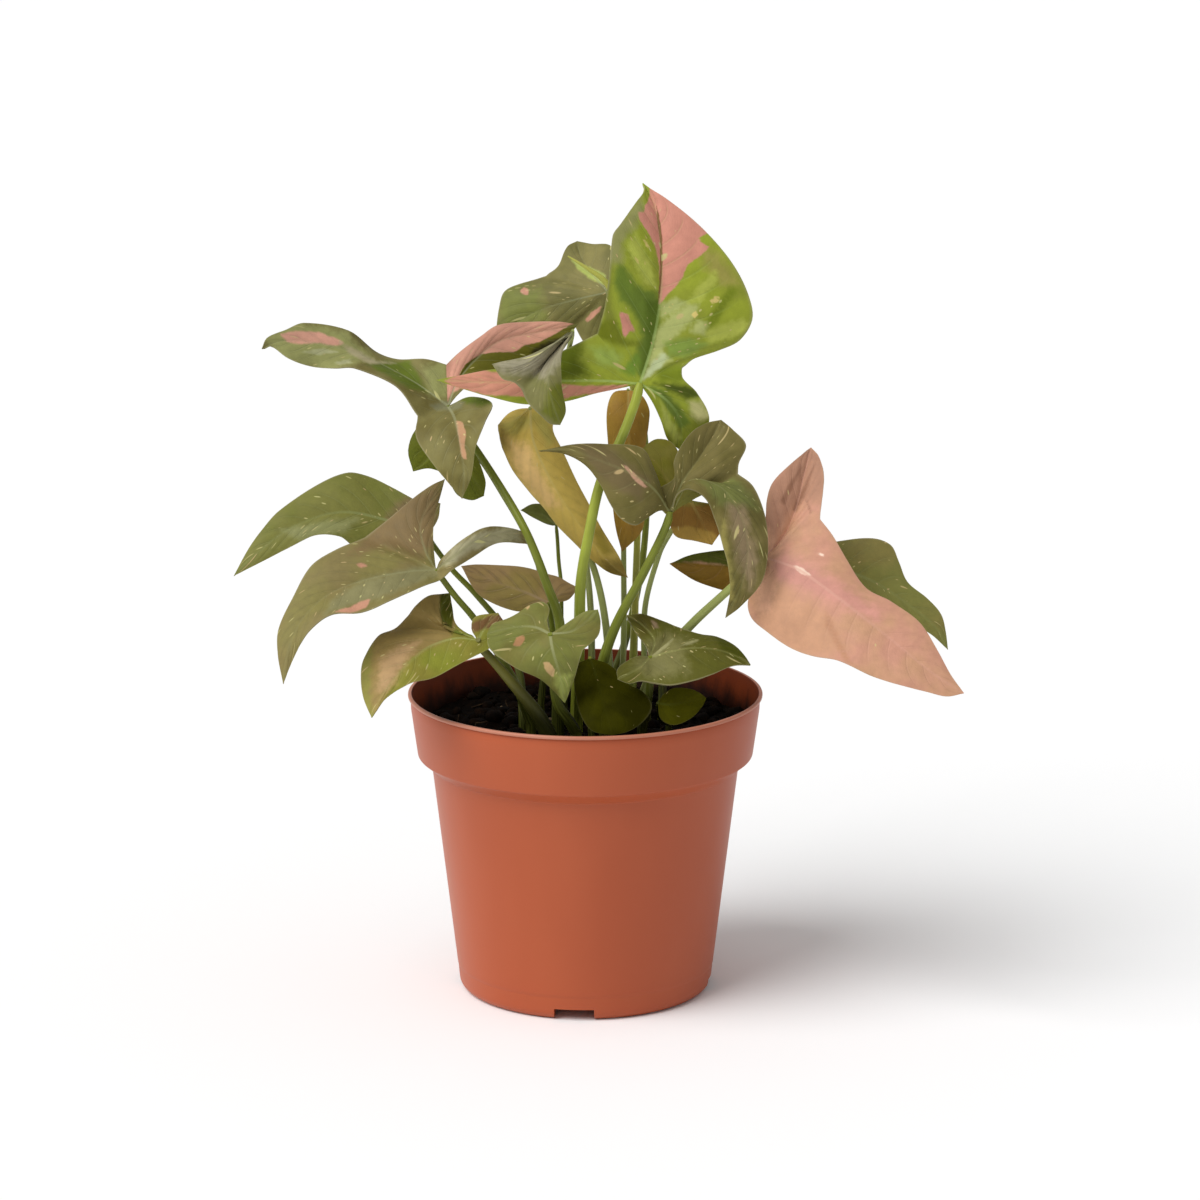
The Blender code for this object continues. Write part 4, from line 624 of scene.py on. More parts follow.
    "flecks": 0.04, "sheen": 0.02, "margin": 0.08},
  "low_leaf": {"upper": "#4C4B03", "second": "#565508", "under": "#5E6638", "rib": "#5C6020", "flecks": 0.06,
    "sheen": 0.05, "margin": 0.1},
  "small_leaf": {"upper": "#62662E", "second": "#6F7438", "under": "#727A48", "rib": "#868C58",
    "flecks": 0.1},
}


def patchReach(spots, outlines):
    # signed distance in mm to the nearest outline of a patch, more than 0 inside it
    reach = np.full(len(spots), -1e9)
    for outline in outlines:
        corners = [photoSpot(pixel) for pixel in outline]
        nearest = np.full(len(spots), 1e9)
        inside = np.zeros(len(spots), bool)
        for (ax, ay), (bx, by) in zip(corners, corners[1:] + corners[:1]):
            wayX, wayY = bx - ax, by - ay
            acrossX, acrossY = spots[:, 0] - ax, spots[:, 1] - ay
            share = np.clip((acrossX * wayX + acrossY * wayY) / (wayX**2 + wayY**2), 0, 1)
            nearest = np.minimum(nearest, np.hypot(acrossX - share * wayX, acrossY - share * wayY))
            if wayY:
                crosses = (ay > spots[:, 1]) != (by > spots[:, 1])
                inside ^= crosses & (spots[:, 0] < wayX * acrossY / wayY + ax)
        reach = np.maximum(reach, np.where(inside, nearest, -nearest))
    return reach


def halfLobe(rib, edge, rows, columns, side, lobeIndex, seed, relief):
    # one half of a lobe: places and what the veins and markings need, on a grid from rib (0) to edge (1)
    shape = bladeShape
    ribLine = np.array(smoothLine(rib, rows))
    edgeLine = np.array(smoothLine(edge, rows))
    share = (np.arange(columns + 1) / columns) ** shape["crowding"]
    spots = ribLine[:, None] + (edgeLine - ribLine)[:, None] * share[None, :, None]
    downRib = np.gradient(spots, axis=0)
    outward = np.repeat((edgeLine - ribLine)[:, None], columns + 1, 1)
    normal = np.cross(outward, downRib) * side
    size = np.linalg.norm(normal, axis=2, keepdims=True)
    normal = np.where(size > 1e-12, normal / np.maximum(size, 1e-12), 0)
    ribLength = np.linalg.norm(np.diff(ribLine, axis=0), axis=1).sum()
    width = np.linalg.norm(edgeLine - ribLine, axis=1)[:, None]
    along = np.repeat((np.arange(rows + 1) / rows)[:, None], columns + 1, 1)
    out = np.repeat(share[None, :], rows + 1, 0)
    veins = max(2, round(ribLength / (shape["veinGap"] * mm)))
    phase = along * veins - shape["veinSweep"] * out - shape["veinCurl"] * out**2 + shape["veinShift"] * side

    # crowned halves, quilted between the veins and waved at the edge, all fading at the joint and the tip
    arch = 4 * out * (1 - out)
    quilt = np.abs(np.sin(math.pi * phase)) ** 0.7 - 0.5
    rise = shape["crown"] * width * arch + relief * shape["quilt"] * mm * quilt * arch
    flutter = np.sin(along * ribLength / (shape["waveLength"] * mm) + seed * 1.7 + side) * 0.6
    rise = rise + shape["wave"] * mm * (flutter + np.sin(along * 11 + seed) * 0.4) * out**3
    ease = np.clip(along * ribLength / (shape["baseEase"] * mm), 0, 1)
    ease = ease * ease * (3 - 2 * ease) * np.clip((1 - along) / shape["tipEase"], 0, 1)
    spots = spots + normal * (rise * ease)[..., None]
    fields = np.stack([along * ribLength / mm, out * width / mm * side, phase, out, along,
                       np.full_like(out, lobeIndex)], 2)
    return spots, fields


def leafSurface(name, form, seed, relief):
    # one sheet of quads through all lobes, with the fields kept on each face's corners
    shape = bladeShape
    joint = leafSpot(form, form["joint"])
    start = joint
    halves = []
    widest = 0
    for index, lobe in enumerate(form["lobes"]):
        rib, near, far = [[leafSpot(form, point) for point in lobe[key]] for key in ("rib", "near", "far")]
        end = leafSpot(form, lobe["notch"]) if "notch" in lobe else joint
        tip = rib[-1]
        rib, near, far = [joint] + rib, [start] + near + [tip], [end] + far[::-1] + [tip]
        length = sum((b - a).length for a, b in zip(rib, rib[1:]))
        rows = max(shape["fewestRows"], round(length / (shape["rowStep"] * mm)))
        halves += [(rib, near, rows, -1, index), (rib, far, rows, 1, index)]
        for edge in (near, far):
            ribLine, edgeLine = smoothLine(rib, 12), smoothLine(edge, 12)
            widest = max(widest, max((b - a).length for a, b in zip(ribLine, edgeLine)))
        start = end
    fewest, most = shape["columns"]
    columns = int(min(most, max(fewest, round(widest / (shape["columnStep"] * mm)))))
    spots, fields, faces, count = [], [], [], 0
    for rib, edge, rows, side, index in halves:
        grid, field = halfLobe(rib, edge, rows, columns, side, index, seed, relief)
        number = count + np.arange((rows + 1) * (columns + 1)).reshape(rows + 1, columns + 1)
        corners = [number[:-1, :-1], number[1:, :-1], number[1:, 1:], number[:-1, 1:]]
        quads = np.stack(corners, 2).reshape(-1, 4)
        faces.append(quads[:, ::-1] if side > 0 else quads)
        spots.append(grid.reshape(-1, 3))
        fields.append(field.reshape(-1, 6))
        count += number.size
    spots, fields, faces = np.concatenate(spots), np.concatenate(fields), np.concatenate(faces)
    mesh = bpy.data.meshes.new(name)
    mesh.from_pydata(spots.tolist(), [], faces.tolist())
    corner = faces.reshape(-1)
    keepField(mesh, "way", "CORNER", fields[corner][:, :3])
    keepField(mesh, "shares", "CORNER", fields[corner][:, 3:])
    sheet = bmesh.new()
    sheet.from_mesh(mesh)
    bmesh.ops.remove_doubles(sheet, verts=sheet.verts, dist=shape["weld"] * mm)
    inner = [vert for vert in sheet.verts if not vert.is_boundary]
    for _ in range(shape["smoothings"]):
        bmesh.ops.smooth_vert(sheet, verts=inner, factor=0.5, use_axis_x=True, use_axis_y=True,
                              use_axis_z=True)
    sheet.normal_update()
    sheet.to_mesh(mesh)
    rim = [edge for edge in sheet.edges if edge.is_boundary]
    edges = [(edge.verts[0].index, edge.verts[1].index, edge.link_faces[0].index) for edge in rim]
    sheet.free()
    return mesh, joint, edges


def makeBlade(name, form, look, seed):
    # the sheet gets its underside, raised ribs below and a rim, so it is a closed thin solid
    sheet, joint, edges = leafSurface(name, form, seed, look["relief"])
    spots = np.array([v.co for v in sheet.vertices])
    normals = np.array([v.vector for v in sheet.vertex_normals])
    faces = [list(p.vertices) for p in sheet.polygons]
    way, shares = readField(sheet, "way"), readField(sheet, "shares")
    corner = np.array([loop.vertex_index for loop in sheet.loops])
    ribNear = np.zeros(len(spots))
    relief = np.exp(-(way[:, 1] / bladeShape["ribWidth"]) ** 2) * (1 - shares[:, 1]) ** 0.7
    np.maximum.at(ribNear, corner, relief)
    under = spots - normals * ((bladeShape["thickness"] + ribNear * bladeShape["ribRelief"]) * mm)[:, None]
    total = len(spots)
    allFaces = list(faces) + [[total + v for v in reversed(face)] for face in faces]
    starts = np.cumsum([0] + [len(face) for face in faces])
    source = list(range(len(corner)))
    for index in range(len(faces)):
        source += list(range(starts[index + 1] - 1, starts[index] - 1, -1))
    for a, b, face in edges:
        ring = faces[face]
        if ring[(ring.index(a) + 1) % len(ring)] != b:
            a, b = b, a
        cornerA, cornerB = starts[face] + ring.index(a), starts[face] + ring.index(b)
        allFaces.append([b, a, total + a, total + b])
        source += [cornerB, cornerA, cornerA, cornerB]
    mesh = bpy.data.meshes.new(name + "Blade")
    mesh.from_pydata(np.concatenate([spots, under]).tolist(), [], allFaces)
    keepField(mesh, "way", "CORNER", way[source])
    keepField(mesh, "shares", "CORNER", shares[source])

    # three patches to a field: how far inside each one a spot lies, or far outside on other lobes
    screen = frontSpots(spots)
    lobeOf = np.round(shares[:, 2]).astype(int)
    for first in range(0, len(look["patches"]), 3):
        reaches = np.full((len(corner), 3), -50.0)
        for index, (_, _, outlines, lobes) in enumerate(look["patches"][first:first + 3]):
            reaches[:, index] = np.where(np.isin(lobeOf, lobes), patchReach(screen, outlines)[corner], -50.0)
        keepField(mesh, f"patches{first // 3}", "CORNER", reaches[source])
    kinds = np.zeros(len(allFaces), np.int32)
    kinds[len(faces):2 * len(faces)] = 1
    mesh.polygons.foreach_set("material_index", kinds)
    mesh.update()
    mesh.shade_smooth()
    mesh.set_sharp_from_angle(angle=math.radians(bladeShape["sharpAngle"]))
    bpy.data.meshes.remove(sheet)
    mesh.materials.append(leafSkin(name, look, seed, False))
    mesh.materials.append(leafSkin(name, look, seed, True))
    blade = newObject(name + "Blade", mesh)
    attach(blade, "root")
    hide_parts(name)
    return joint


# What all leaves share in their skin: sizes in mm, colours, and roughness from and to. Each row of flecks has
# its gap across the veins, its length along them, and its share of the leaf's own flecks.
skinShape = {"cloud": 12.0, "mottle": 2.4, "netVein": 1.3, "flecks": ((2.4, 3.3, 1.0), (7.0, 9.5, 0.5)),
             "fleckColours": ("#C9C785", "#C6A878"), "marginColour": "#A29A78",
             "roughness": (0.5, 0.62), "underRoughness": (0.62, 0.72), "bump": 0.08}


def leafSkin(name, look, seed, under):
    # Leaf skin grown in a greenhouse: a thin cuticle over soft tissue, so nearly matt with a broad weak
    # sheen; chlorophyll in clouds, unpigmented sectors with soft edges, and pale flecks 0.5 to 3 mm long.
    material, addNode, shader = newMaterial(name + ("Underside" if under else "Upperside"))
    way = addNode("SeparateXYZ", i0=addNode("Attribute", {"attribute_name": "way"})["Vector"])
    shares = addNode("SeparateXYZ", i0=addNode("Attribute", {"attribute_name": "shares"})["Vector"])
    phase, out, along = way[2], shares[0], shares[1]
    where = addNode("TexCoord")["Object"]
    cloud = addNode("TexNoise", leafByLeaf, Vector=where, W=seed * 3.7, Scale=1 / (skinShape["cloud"] * mm),
                    Detail=2.0, Roughness=0.5)[0]
    mottle = addNode("TexNoise", leafByLeaf, Vector=where, W=seed * 1.9, Scale=1 / (skinShape["mottle"] * mm),
                     Detail=3.0, Roughness=0.6)[0]
    drift = addNode("Math", minus, i0=mottle, i1=0.5)[0]

    # leaf coordinates in mm, across the lateral veins and along them, apart for each lobe and leaf
    lobeStep = addNode("Math", timesPlus, i0=shares[2], i1=40.0, i2=seed * 13.0)[0]
    acrossVeins = addNode("Math", times, i0=phase, i1=bladeShape["veinGap"])[0]
    acrossVeins = addNode("Math", plus, i0=acrossVeins, i1=lobeStep)[0]
    veinWay = addNode("CombineXYZ", X=acrossVeins, Y=way[1])[0]

    # clouds of the two colours, then the patches with slightly ragged edges; hard ones show weaker below
    share = addNode("MapRange", smoothly, i0=cloud, i1=0.36, i2=0.64)[0]
    colour = addNode("Mix", mixColours, i0=share, i6=linear(look["upper"]), i7=linear(look["second"]))[2]
    if under:
        colour = addNode("Mix", mixColours, i0=0.85, i6=colour, i7=linear(look["under"]))[2]
    for index, (patchColour, soft, _, _) in enumerate(look["patches"]):
        field = addNode("Attribute", {"attribute_name": f"patches{index // 3}"})["Vector"]
        reach = addNode("SeparateXYZ", i0=field)[index % 3]
        edge = addNode("Math", timesPlus, i0=drift, i1=0.5 + soft * 2, i2=reach)[0]
        strength = 0.35 if under and soft < 1 else 1.0
        inside = addNode("MapRange", smoothly, i0=edge, i1=-soft, i2=soft, i4=strength)[0]
        colour = addNode("Mix", mixColours, i0=inside, i6=colour, i7=linear(patchColour))[2]
    tone = addNode("MapRange", i0=cloud, i1=0.3, i2=0.7, i3=0.88, i4=1.12)[0]
    grain = addNode("MapRange", i0=mottle, i1=0.3, i2=0.7, i3=0.93, i4=1.07)[0]
    shade = addNode("Math", times, i0=tone, i1=grain)[0]

    # lateral veins: a fine line at each whole phase, fading before the margin, over a furrow darkened as
    # painted shade
    veinTurn = addNode("Math", plus, i0=phase, i1=0.5)[0]
    veinTurn = addNode("Math", {"operation": "FRACT"}, i0=veinTurn)[0]
    veinSide = addNode("Math", minus, i0=veinTurn, i1=0.5)[0]
    veinSide = addNode("Math", {"operation": "ABSOLUTE"}, i0=veinSide)[0]
    veinFade = addNode("MapRange", smoothly, i0=out, i1=0.97, i2=0.5)[0]
    furrow = addNode("MapRange", smoothly, i0=veinSide, i1=0.3, i2=0.05, i4=look["furrow"])[0]
    furrow = addNode("Math", times, i0=furrow, i1=veinFade)[0]
    shade = addNode("Math", minus, i0=shade, i1=furrow)[0]
    colour = addNode("VectorMath", {"operation": "SCALE"}, i0=colour, Scale=shade)[0]
    veinLine = addNode("MapRange", smoothly, i0=veinSide, i1=0.07, i2=0.01)[0]
    veinLine = addNode("Math", times, i0=veinLine, i1=veinFade)[0]
    veinShow = addNode("Math", times, i0=veinLine, i1=look["veins"])[0]
    colour = addNode("Mix", mixColours, i0=veinShow, i6=colour, i7=linear(look["rib"]))[2]

    # the rib: a paler line 0.4 to 1.4 mm wide that fades towards the tip
    ribSide = addNode("Math", {"operation": "ABSOLUTE"}, i0=way[1])[0]
    ribEdge = addNode("MapRange", smoothly, i0=ribSide, i1=0.7, i2=0.2)[0]
    ribFade = addNode("MapRange", smoothly, i0=along, i1=0.6, i2=0.0, i3=look["ribEnd"], i4=0.65)[0]
    ribShow = addNode("Math", times, i0=ribEdge, i1=ribFade)[0]
    ribLobe = addNode("Math", {"operation": "GREATER_THAN"}, i0=shares[2], i1=look["ribFrom"] - 0.5)[0]
    ribShow = addNode("Math", times, i0=ribShow, i1=ribLobe)[0]
    colour = addNode("Mix", mixColours, i0=ribShow, i6=colour, i7=linear(look["rib"]))[2]

    # flecks drawn out along the veins, small ones and a few larger ones, and a dry pale margin
    for gap, length, part in () if under else skinShape["flecks"]:
        spacing = addNode("Mapping", Vector=veinWay, Scale=(1 / gap, 1 / length, 1.0))[0]
        cells = addNode("TexVoronoi", {"voronoi_dimensions": "2D"}, Scale=1.0, Vector=spacing)
        chance = addNode("SeparateColor", i0=cells["Color"])
        size = addNode("MapRange", i0=chance[0], i1=1 - look["flecks"] * part, i2=1.0, i4=0.2)[0]
        depth = addNode("Math", minus, i0=size, i1=cells["Distance"])[0]
        fleck = addNode("MapRange", smoothly, i0=depth, i1=0.0, i2=0.08, i4=0.7)[0]
        first, second = [linear(each) for each in skinShape["fleckColours"]]
        pale = addNode("Mix", mixColours, i0=chance[1], i6=first, i7=second)[2]
        colour = addNode("Mix", mixColours, i0=fleck, i6=colour, i7=pale)[2]
    margin = addNode("MapRange", smoothly, i0=out, i1=0.955, i2=1.0, i4=look["margin"])[0]
    colour = addNode("Mix", mixColours, i0=margin, i6=colour, i7=linear(skinShape["marginColour"]))[2]

    # net veins as a fine bump, with the lateral veins as furrows above and ridges below
    low, high = skinShape["underRoughness" if under else "roughness"]
    rough = addNode("MapRange", i0=mottle, i1=0.3, i2=0.7, i3=low, i4=high)[0]
    net = addNode("TexVoronoi", {"feature": "DISTANCE_TO_EDGE", "voronoi_dimensions": "2D"}, Vector=veinWay,
                  Scale=1 / skinShape["netVein"], Randomness=0.9)["Distance"]
    height = addNode("MapRange", i0=net, i1=0.0, i2=0.16, i3=-0.5, i4=0.0)[0]
    height = addNode("Math", timesPlus, i0=veinLine, i1=-1.2, i2=height)[0]
    height = addNode("Math", timesPlus, i0=mottle, i1=0.8, i2=height)[0]
    depth = skinShape["bump"] * mm
    bump = addNode("Bump", i0=0.6, i1=-depth if under else depth, Height=height)[0]
    feed(shader, Base_Color=colour, Roughness=rough, IOR=1.43, Specular_IOR_Level=look["sheen"], Normal=bump)
    return material


# Stalks: mm, shares of the radius or the length, and turns in radians for the groove and its lips. The colour
# changes between two heights above the table, darker below as painted shade inside the pot.
stalkShape = {"girth": 0.8, "footGirth": 0.88, "taper": 1.5, "neck": (0.62, 0.86), "neckSink": 0.2,
              "step": 1.3, "fewestSteps": 6, "sides": 18, "sharpAngle": 60, "groove": 0.16,
              "grooveWidth": 0.42, "sheathShare": 0.45, "sheathEase": 0.25, "sheathSwell": 0.16,
              "lipAngle": 0.75, "lipWidth": 0.35, "bedHeight": 6.0, "rooted": (0, 3.0, 6.8),
              "lineLength": 14.0, "lineGap": 0.4545, "lineDepth": 0.1, "cloud": 11.0,
              "colourHeights": (0.124, 0.1), "roughness": 0.45, "gloss": 0.35}
soilTop = frontView["rimHeight"] - 0.012

# Upper, lower and line colour, with light and shade painted in: the crown's and the painted-lit skin are
# paler as if in the light, the shaded one darker as if under the leaves, and each lower colour is painted
# shade.
stalkColours = {"stalkSkin": ("#6C7420", "#383C08", "#8C9244"),
                "crownStalkSkin": ("#96A038", "#7C8422", "#AEB658"),
                "shadedStalkSkin": ("#6A6628", "#26280A", "#4C4E18"),
                "paintedLitStalkSkin": ("#949C56", "#484C10", "#AEB478"),
                "rolledLeafSkin": ("#A8A848", "#828E3C", "#BDB968")}
stalkSkinOf = {"crown_leaf": "crownStalkSkin", "rim_left_leaf": "shadedStalkSkin"}
for name in ("ochre_leaf", "folded_leaf", "hanging_leaf", "shaded_leaf", "pink_leaf"):
    stalkSkinOf[name] = "paintedLitStalkSkin"


def stalkSkin(name, upper, lower, line):
    # Petiole skin grown smooth and a little waxy, so a soft narrow gloss; fine paler lines run lengthwise,
    # and it darkens towards the foot, where peat and shade keep the light off.
    material, addNode, shader = newMaterial(name)
    way = addNode("SeparateXYZ", i0=addNode("Attribute", {"attribute_name": "stalkWay"})["Vector"])
    around = addNode("CombineXYZ", X=way[0], Y=way[1])[0]
    spacing = (1 / stalkShape["lineLength"], 1 / stalkShape["lineGap"], 1)
    lengthwise = addNode("Mapping", Scale=spacing, Vector=around)[0]
    grain = addNode("TexNoise", Vector=lengthwise, Scale=1.0, Detail=3.0)[0]
    where = addNode("TexCoord")["Object"]
    cloud = addNode("TexNoise", Vector=where, Scale=1 / (stalkShape["cloud"] * mm), Detail=2.0)[0]
    height = addNode("SeparateXYZ", i0=where)[2]
    top, foot = stalkShape["colourHeights"]
    toFoot = addNode("MapRange", smoothly, i0=height, i1=top, i2=foot)[0]
    body = addNode("Mix", mixColours, i0=toFoot, i6=linear(upper), i7=linear(lower))[2]
    lines = addNode("MapRange", i0=grain, i1=0.45, i2=0.75, i4=0.5)[0]
    body = addNode("Mix", mixColours, i0=lines, i6=body, i7=linear(line))[2]
    shade = addNode("MapRange", i0=cloud, i1=0.3, i2=0.7, i3=0.86, i4=1.12)[0]
    body = addNode("VectorMath", {"operation": "SCALE"}, i0=body, Scale=shade)[0]
    bump = addNode("Bump", i0=0.4, i1=stalkShape["lineDepth"] * mm, Height=grain)[0]
    feed(shader, Base_Color=body, Roughness=stalkShape["roughness"], IOR=1.43,
         Specular_IOR_Level=stalkShape["gloss"], Normal=bump)
    return material


def stalkRoute(form, route):
    # from the joint down through the route to the foot, then straight into the peat
    count = len(route)
    back = form.get("setBack", 0)
    guide = [seen(a, u, d + back * (1 - (i / count) ** 2)) for i, (a, u, d) in enumerate(route)]
    x, y = form["foot"][0] * mm, form["foot"][1] * mm
    guide.append(Vector((x, y, soilTop + stalkShape["bedHeight"] * mm)))
    length = sum((b - a).length for a, b in zip(guide, guide[1:]))
    line = smoothLine(guide, max(stalkShape["fewestSteps"], round(length / (stalkShape["step"] * mm))))
    return line + [Vector((x, y, soilTop - depth * mm)) for depth in stalkShape["rooted"]]


def sweep(name, line, radii, facing, material):
    # rings of a grooved round section along the line; the groove faces the given way
    shape = stalkShape
    sides = shape["sides"]
    spots, fields = [], []
    length = 0.0
    steps = len(line) - 1
    ahead = (line[1] - line[0]).normalized()
    front = (facing - ahead * facing.dot(ahead)).normalized()
    for index, centre in enumerate(line):
        low, high = line[max(index - 1, 0)], line[min(index + 1, steps)]
        ahead = (high - low).normalized()
        front = (front - ahead * front.dot(ahead)).normalized()
        cross = ahead.cross(front)
        share = index / steps
        sheath = min(1.0, max(0.0, (share - (1 - shape["sheathShare"])) / shape["sheathEase"]))
        if index:
            length += (centre - line[index - 1]).length
        for turn in range(sides):
            angle = 2 * math.pi * turn / sides
            aside = min(angle, 2 * math.pi - angle)
            dent = math.exp(-(aside / shape["grooveWidth"]) ** 2)
            lips = math.exp(-((aside - shape["lipAngle"]) / shape["lipWidth"]) ** 2)
            radius = radii[index] * (1 - dent * shape["groove"] * (0.7 + 1.5 * sheath)
                                     + lips * shape["sheathSwell"] * sheath)
            spots.append(centre + (front * math.cos(angle) + cross * math.sin(angle)) * radius)
            fields.append((length / mm, angle * radii[index] / mm, share))
    faces = []
    for low in range(0, steps * sides, sides):
        for turn in range(sides):
            after = (turn + 1) % sides
            faces.append([low + turn, low + after, low + sides + after, low + sides + turn])
    faces.append(list(reversed(range(sides))))
    faces.append([steps * sides + turn for turn in range(sides)])
    mesh = bpy.data.meshes.new(name)
    mesh.from_pydata(spots, [], faces)
    keepField(mesh, "stalkWay", "POINT", fields)
    mesh.materials.append(material)
    mesh.update()
    solid = bmesh.new()
    solid.from_mesh(mesh)
    bmesh.ops.recalc_face_normals(solid, faces=solid.faces)
    solid.to_mesh(mesh)
    solid.free()
    mesh.shade_smooth()
    mesh.set_sharp_from_angle(angle=math.radians(shape["sharpAngle"]))
    return newObject(name, mesh)


def makeStalk(name, form, joint, material):
    line = stalkRoute(form, [form["joint"]] + form["stem"])
    steps = len(line) - 1
    top = form["radii"][0] * form.get("girth", stalkShape["girth"])
    bottom = form["radii"][1] * stalkShape["footGirth"]
    radii = [(top + (bottom - top) * (step / steps) ** stalkShape["taper"]) * mm for step in range(steps + 1)]
    for step, share in enumerate(stalkShape["neck"]):
        radii[step] *= share
    line[0] = joint - (line[1] - joint).normalized() * (stalkShape["neckSink"] * mm)
    middle = form["lobes"][len(form["lobes"]) // 2]["rib"][0]
    towards = (leafSpot(form, middle) - joint).normalized()
    stalk = sweep(name + "Stalk", line, radii, towards, material)
    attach(stalk, "root")
    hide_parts(name.replace("leaf", "stem"))


stalkSkins = {name: stalkSkin(name, *shades) for name, shades in stalkColours.items()}
for seed, (name, form) in enumerate(leafForms.items(), 1):
    joint = makeBlade(name, form, {**plainLook, **leafLooks[name]}, seed)
    makeStalk(name, form, joint, stalkSkins[stalkSkinOf.get(name, "stalkSkin")])
print("leaves and stalks made")


def makeRolledLeaf():
    # the new leaf, still rolled around itself: its radii are spread evenly from the tip to the foot
    line = stalkRoute(rolledLeaf, rolledLeaf["route"])
    given = rolledLeaf["radii"]
    radii = []
    for step in range(len(line)):
        place = step / (len(line) - 1) * (len(given) - 1)
        low = min(int(place), len(given) - 2)
        radii.append((given[low] + (given[low + 1] - given[low]) * (place - low)) * mm)
    rolled = sweep("rolledNewLeaf", line, radii, Vector((0, -1, 0)), stalkSkins["rolledLeafSkin"])
    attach(rolled, "root")
    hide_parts("rolled_leaf")


makeRolledLeaf()
print("rolled leaf made")

# Pot, in metres. The foot ring's numbers are set in from the foot's radius: where it stands, from and to, and
# where it meets the floor. The well is the middle of the floor, which reaches down to the table.
potShape = {"height": 0.103, "rimRadius": 0.060, "wall": 0.0013, "steps": 192, "sharpAngle": 32,
            "lipHeight": 0.0012, "lipGroove": 0.0009, "bead": 0.0005, "innerBead": 0.0003,
            "bandHeight": 0.0215, "bandFootRadius": 0.0569, "bandCorner": 0.0010,
            "shoulderDrop": 0.0035, "shoulderCorner": 0.0009,
            "bodyTopRadius": 0.0520, "bodyFootRadius": 0.0432, "footCorner": 0.0035,
            "mouldLineHeight": 0.0085, "mouldLineStep": 0.00012,
            "footRing": (0.0036, 0.0060, 0.0066), "floorRaise": 0.0042, "wellRadius": 0.0205,
            "wellFoot": 0.0195, "notches": 4, "notchTurn": -95, "notchWidth": 0.0135, "notchHeight": 0.004,
            "notchReach": 0.014, "notchCorner": 0.0006,
            "drainHoles": 8, "drainRing": 0.029, "drainRadius": 0.0035, "drainDepth": 0.008}

# The wall inside is smeared with dry peat and darkened with painted shade, both heavier towards the soil, and
# the lip is painted paler as a painted highlight along the rim.
potSkins = {"mouldedPolypropylene": {"colour": "#B1552F", "deep": "#A84D28", "gloss": 0.4,
                                     "speck": "#D9A78E"},
            "shadedStainedInnerWall": {"colour": "#8A3A14", "deep": "#682A0C", "gloss": 0.2, "stainAndShade": "#170A05"},
            "paintedLipHighlight": {"colour": "#BE8068", "deep": "#B06A50", "gloss": 0.4}}
# Patterns in mm: flow marks and smears by their size in X, Y and Z, specks by their spacing and the share
# that is kept, the mould's texture by size and depth. In metres: where the wall inside is clean and lit, and
# where it is stained and in painted shade.
potSurface = {"flow": (71.4, 71.4, 200.0), "speckGap": 6.67, "specksKept": 0.025,
              "smear": (6.25, 6.25, 14.3), "texture": 1.2, "textureDepth": 0.06,
              "stainAndShadeHeights": (0.101, 0.089), "roughness": (0.4, 0.5)}


def potPlastic(name, skin):
    # Injection-moulded polypropylene: satin from the mould's fine texture, with a broad sheen, a faint flow
    # variation drawn out upwards, and a few pale dust specks outside.
    material, addNode, shader = newMaterial(name)
    where = addNode("TexCoord")["Object"]
    repeats = [1 / (size * mm) for size in potSurface["flow"]]
    flow = addNode("Mapping", Vector=where, Scale=repeats)[0]
    cloud = addNode("TexNoise", Vector=flow, Scale=1.0, Detail=3.0, Roughness=0.55)[0]
    share = addNode("MapRange", i0=cloud, i1=0.35, i2=0.65)[0]
    base = addNode("Mix", mixColours, i0=share, i6=linear(skin["colour"]), i7=linear(skin["deep"]))[2]
    if "speck" in skin:
        cells = addNode("TexVoronoi", Vector=where, Scale=1 / (potSurface["speckGap"] * mm), Randomness=1.0)
        chance = addNode("SeparateColor", i0=cells["Color"])[0]
        kept = addNode("MapRange", i0=chance, i1=1 - potSurface["specksKept"], i2=1.0, i4=0.12)[0]
        near = addNode("Math", {"operation": "LESS_THAN"}, i0=cells["Distance"], i1=kept)[0]
        base = addNode("Mix", mixColours, i0=near, i6=base, i7=linear(skin["speck"]))[2]
    # painted shade and peat stain on the wall inside: smears that darken towards the soil
    if "stainAndShade" in skin:
        repeats = [1 / (size * mm) for size in potSurface["smear"]]
        drawnUp = addNode("Mapping", Vector=where, Scale=repeats)[0]
        smear = addNode("TexNoise", Scale=1.0, Detail=4.0, Roughness=0.65, Vector=drawnUp)[0]
        height = addNode("SeparateXYZ", i0=where)[2]
        cleanAndLit, stainedAndShaded = potSurface["stainAndShadeHeights"]
        above = addNode("MapRange", i0=height, i1=cleanAndLit, i2=stainedAndShaded)[0]
        stainAndShade = addNode("Math", plus, i0=above, i1=smear)[0]
        stainAndShade = addNode("MapRange", smoothly, i0=stainAndShade, i1=0.55, i2=1.35, i4=0.95)[0]
        base = addNode("Mix", mixColours, i0=stainAndShade, i6=base, i7=linear(skin["stainAndShade"]))[2]
    fine = addNode("TexNoise", Vector=where, Scale=1 / (potSurface["texture"] * mm), Detail=2.0)[0]
    low, high = potSurface["roughness"]
    rough = addNode("MapRange", i0=cloud, i1=0.3, i2=0.7, i3=low, i4=high)[0]
    bump = addNode("Bump", i0=0.25, i1=potSurface["textureDepth"] * mm, Height=fine)[0]
    feed(shader, Base_Color=base, Roughness=rough, IOR=1.49, Specular_IOR_Level=skin["gloss"], Normal=bump)
    return material


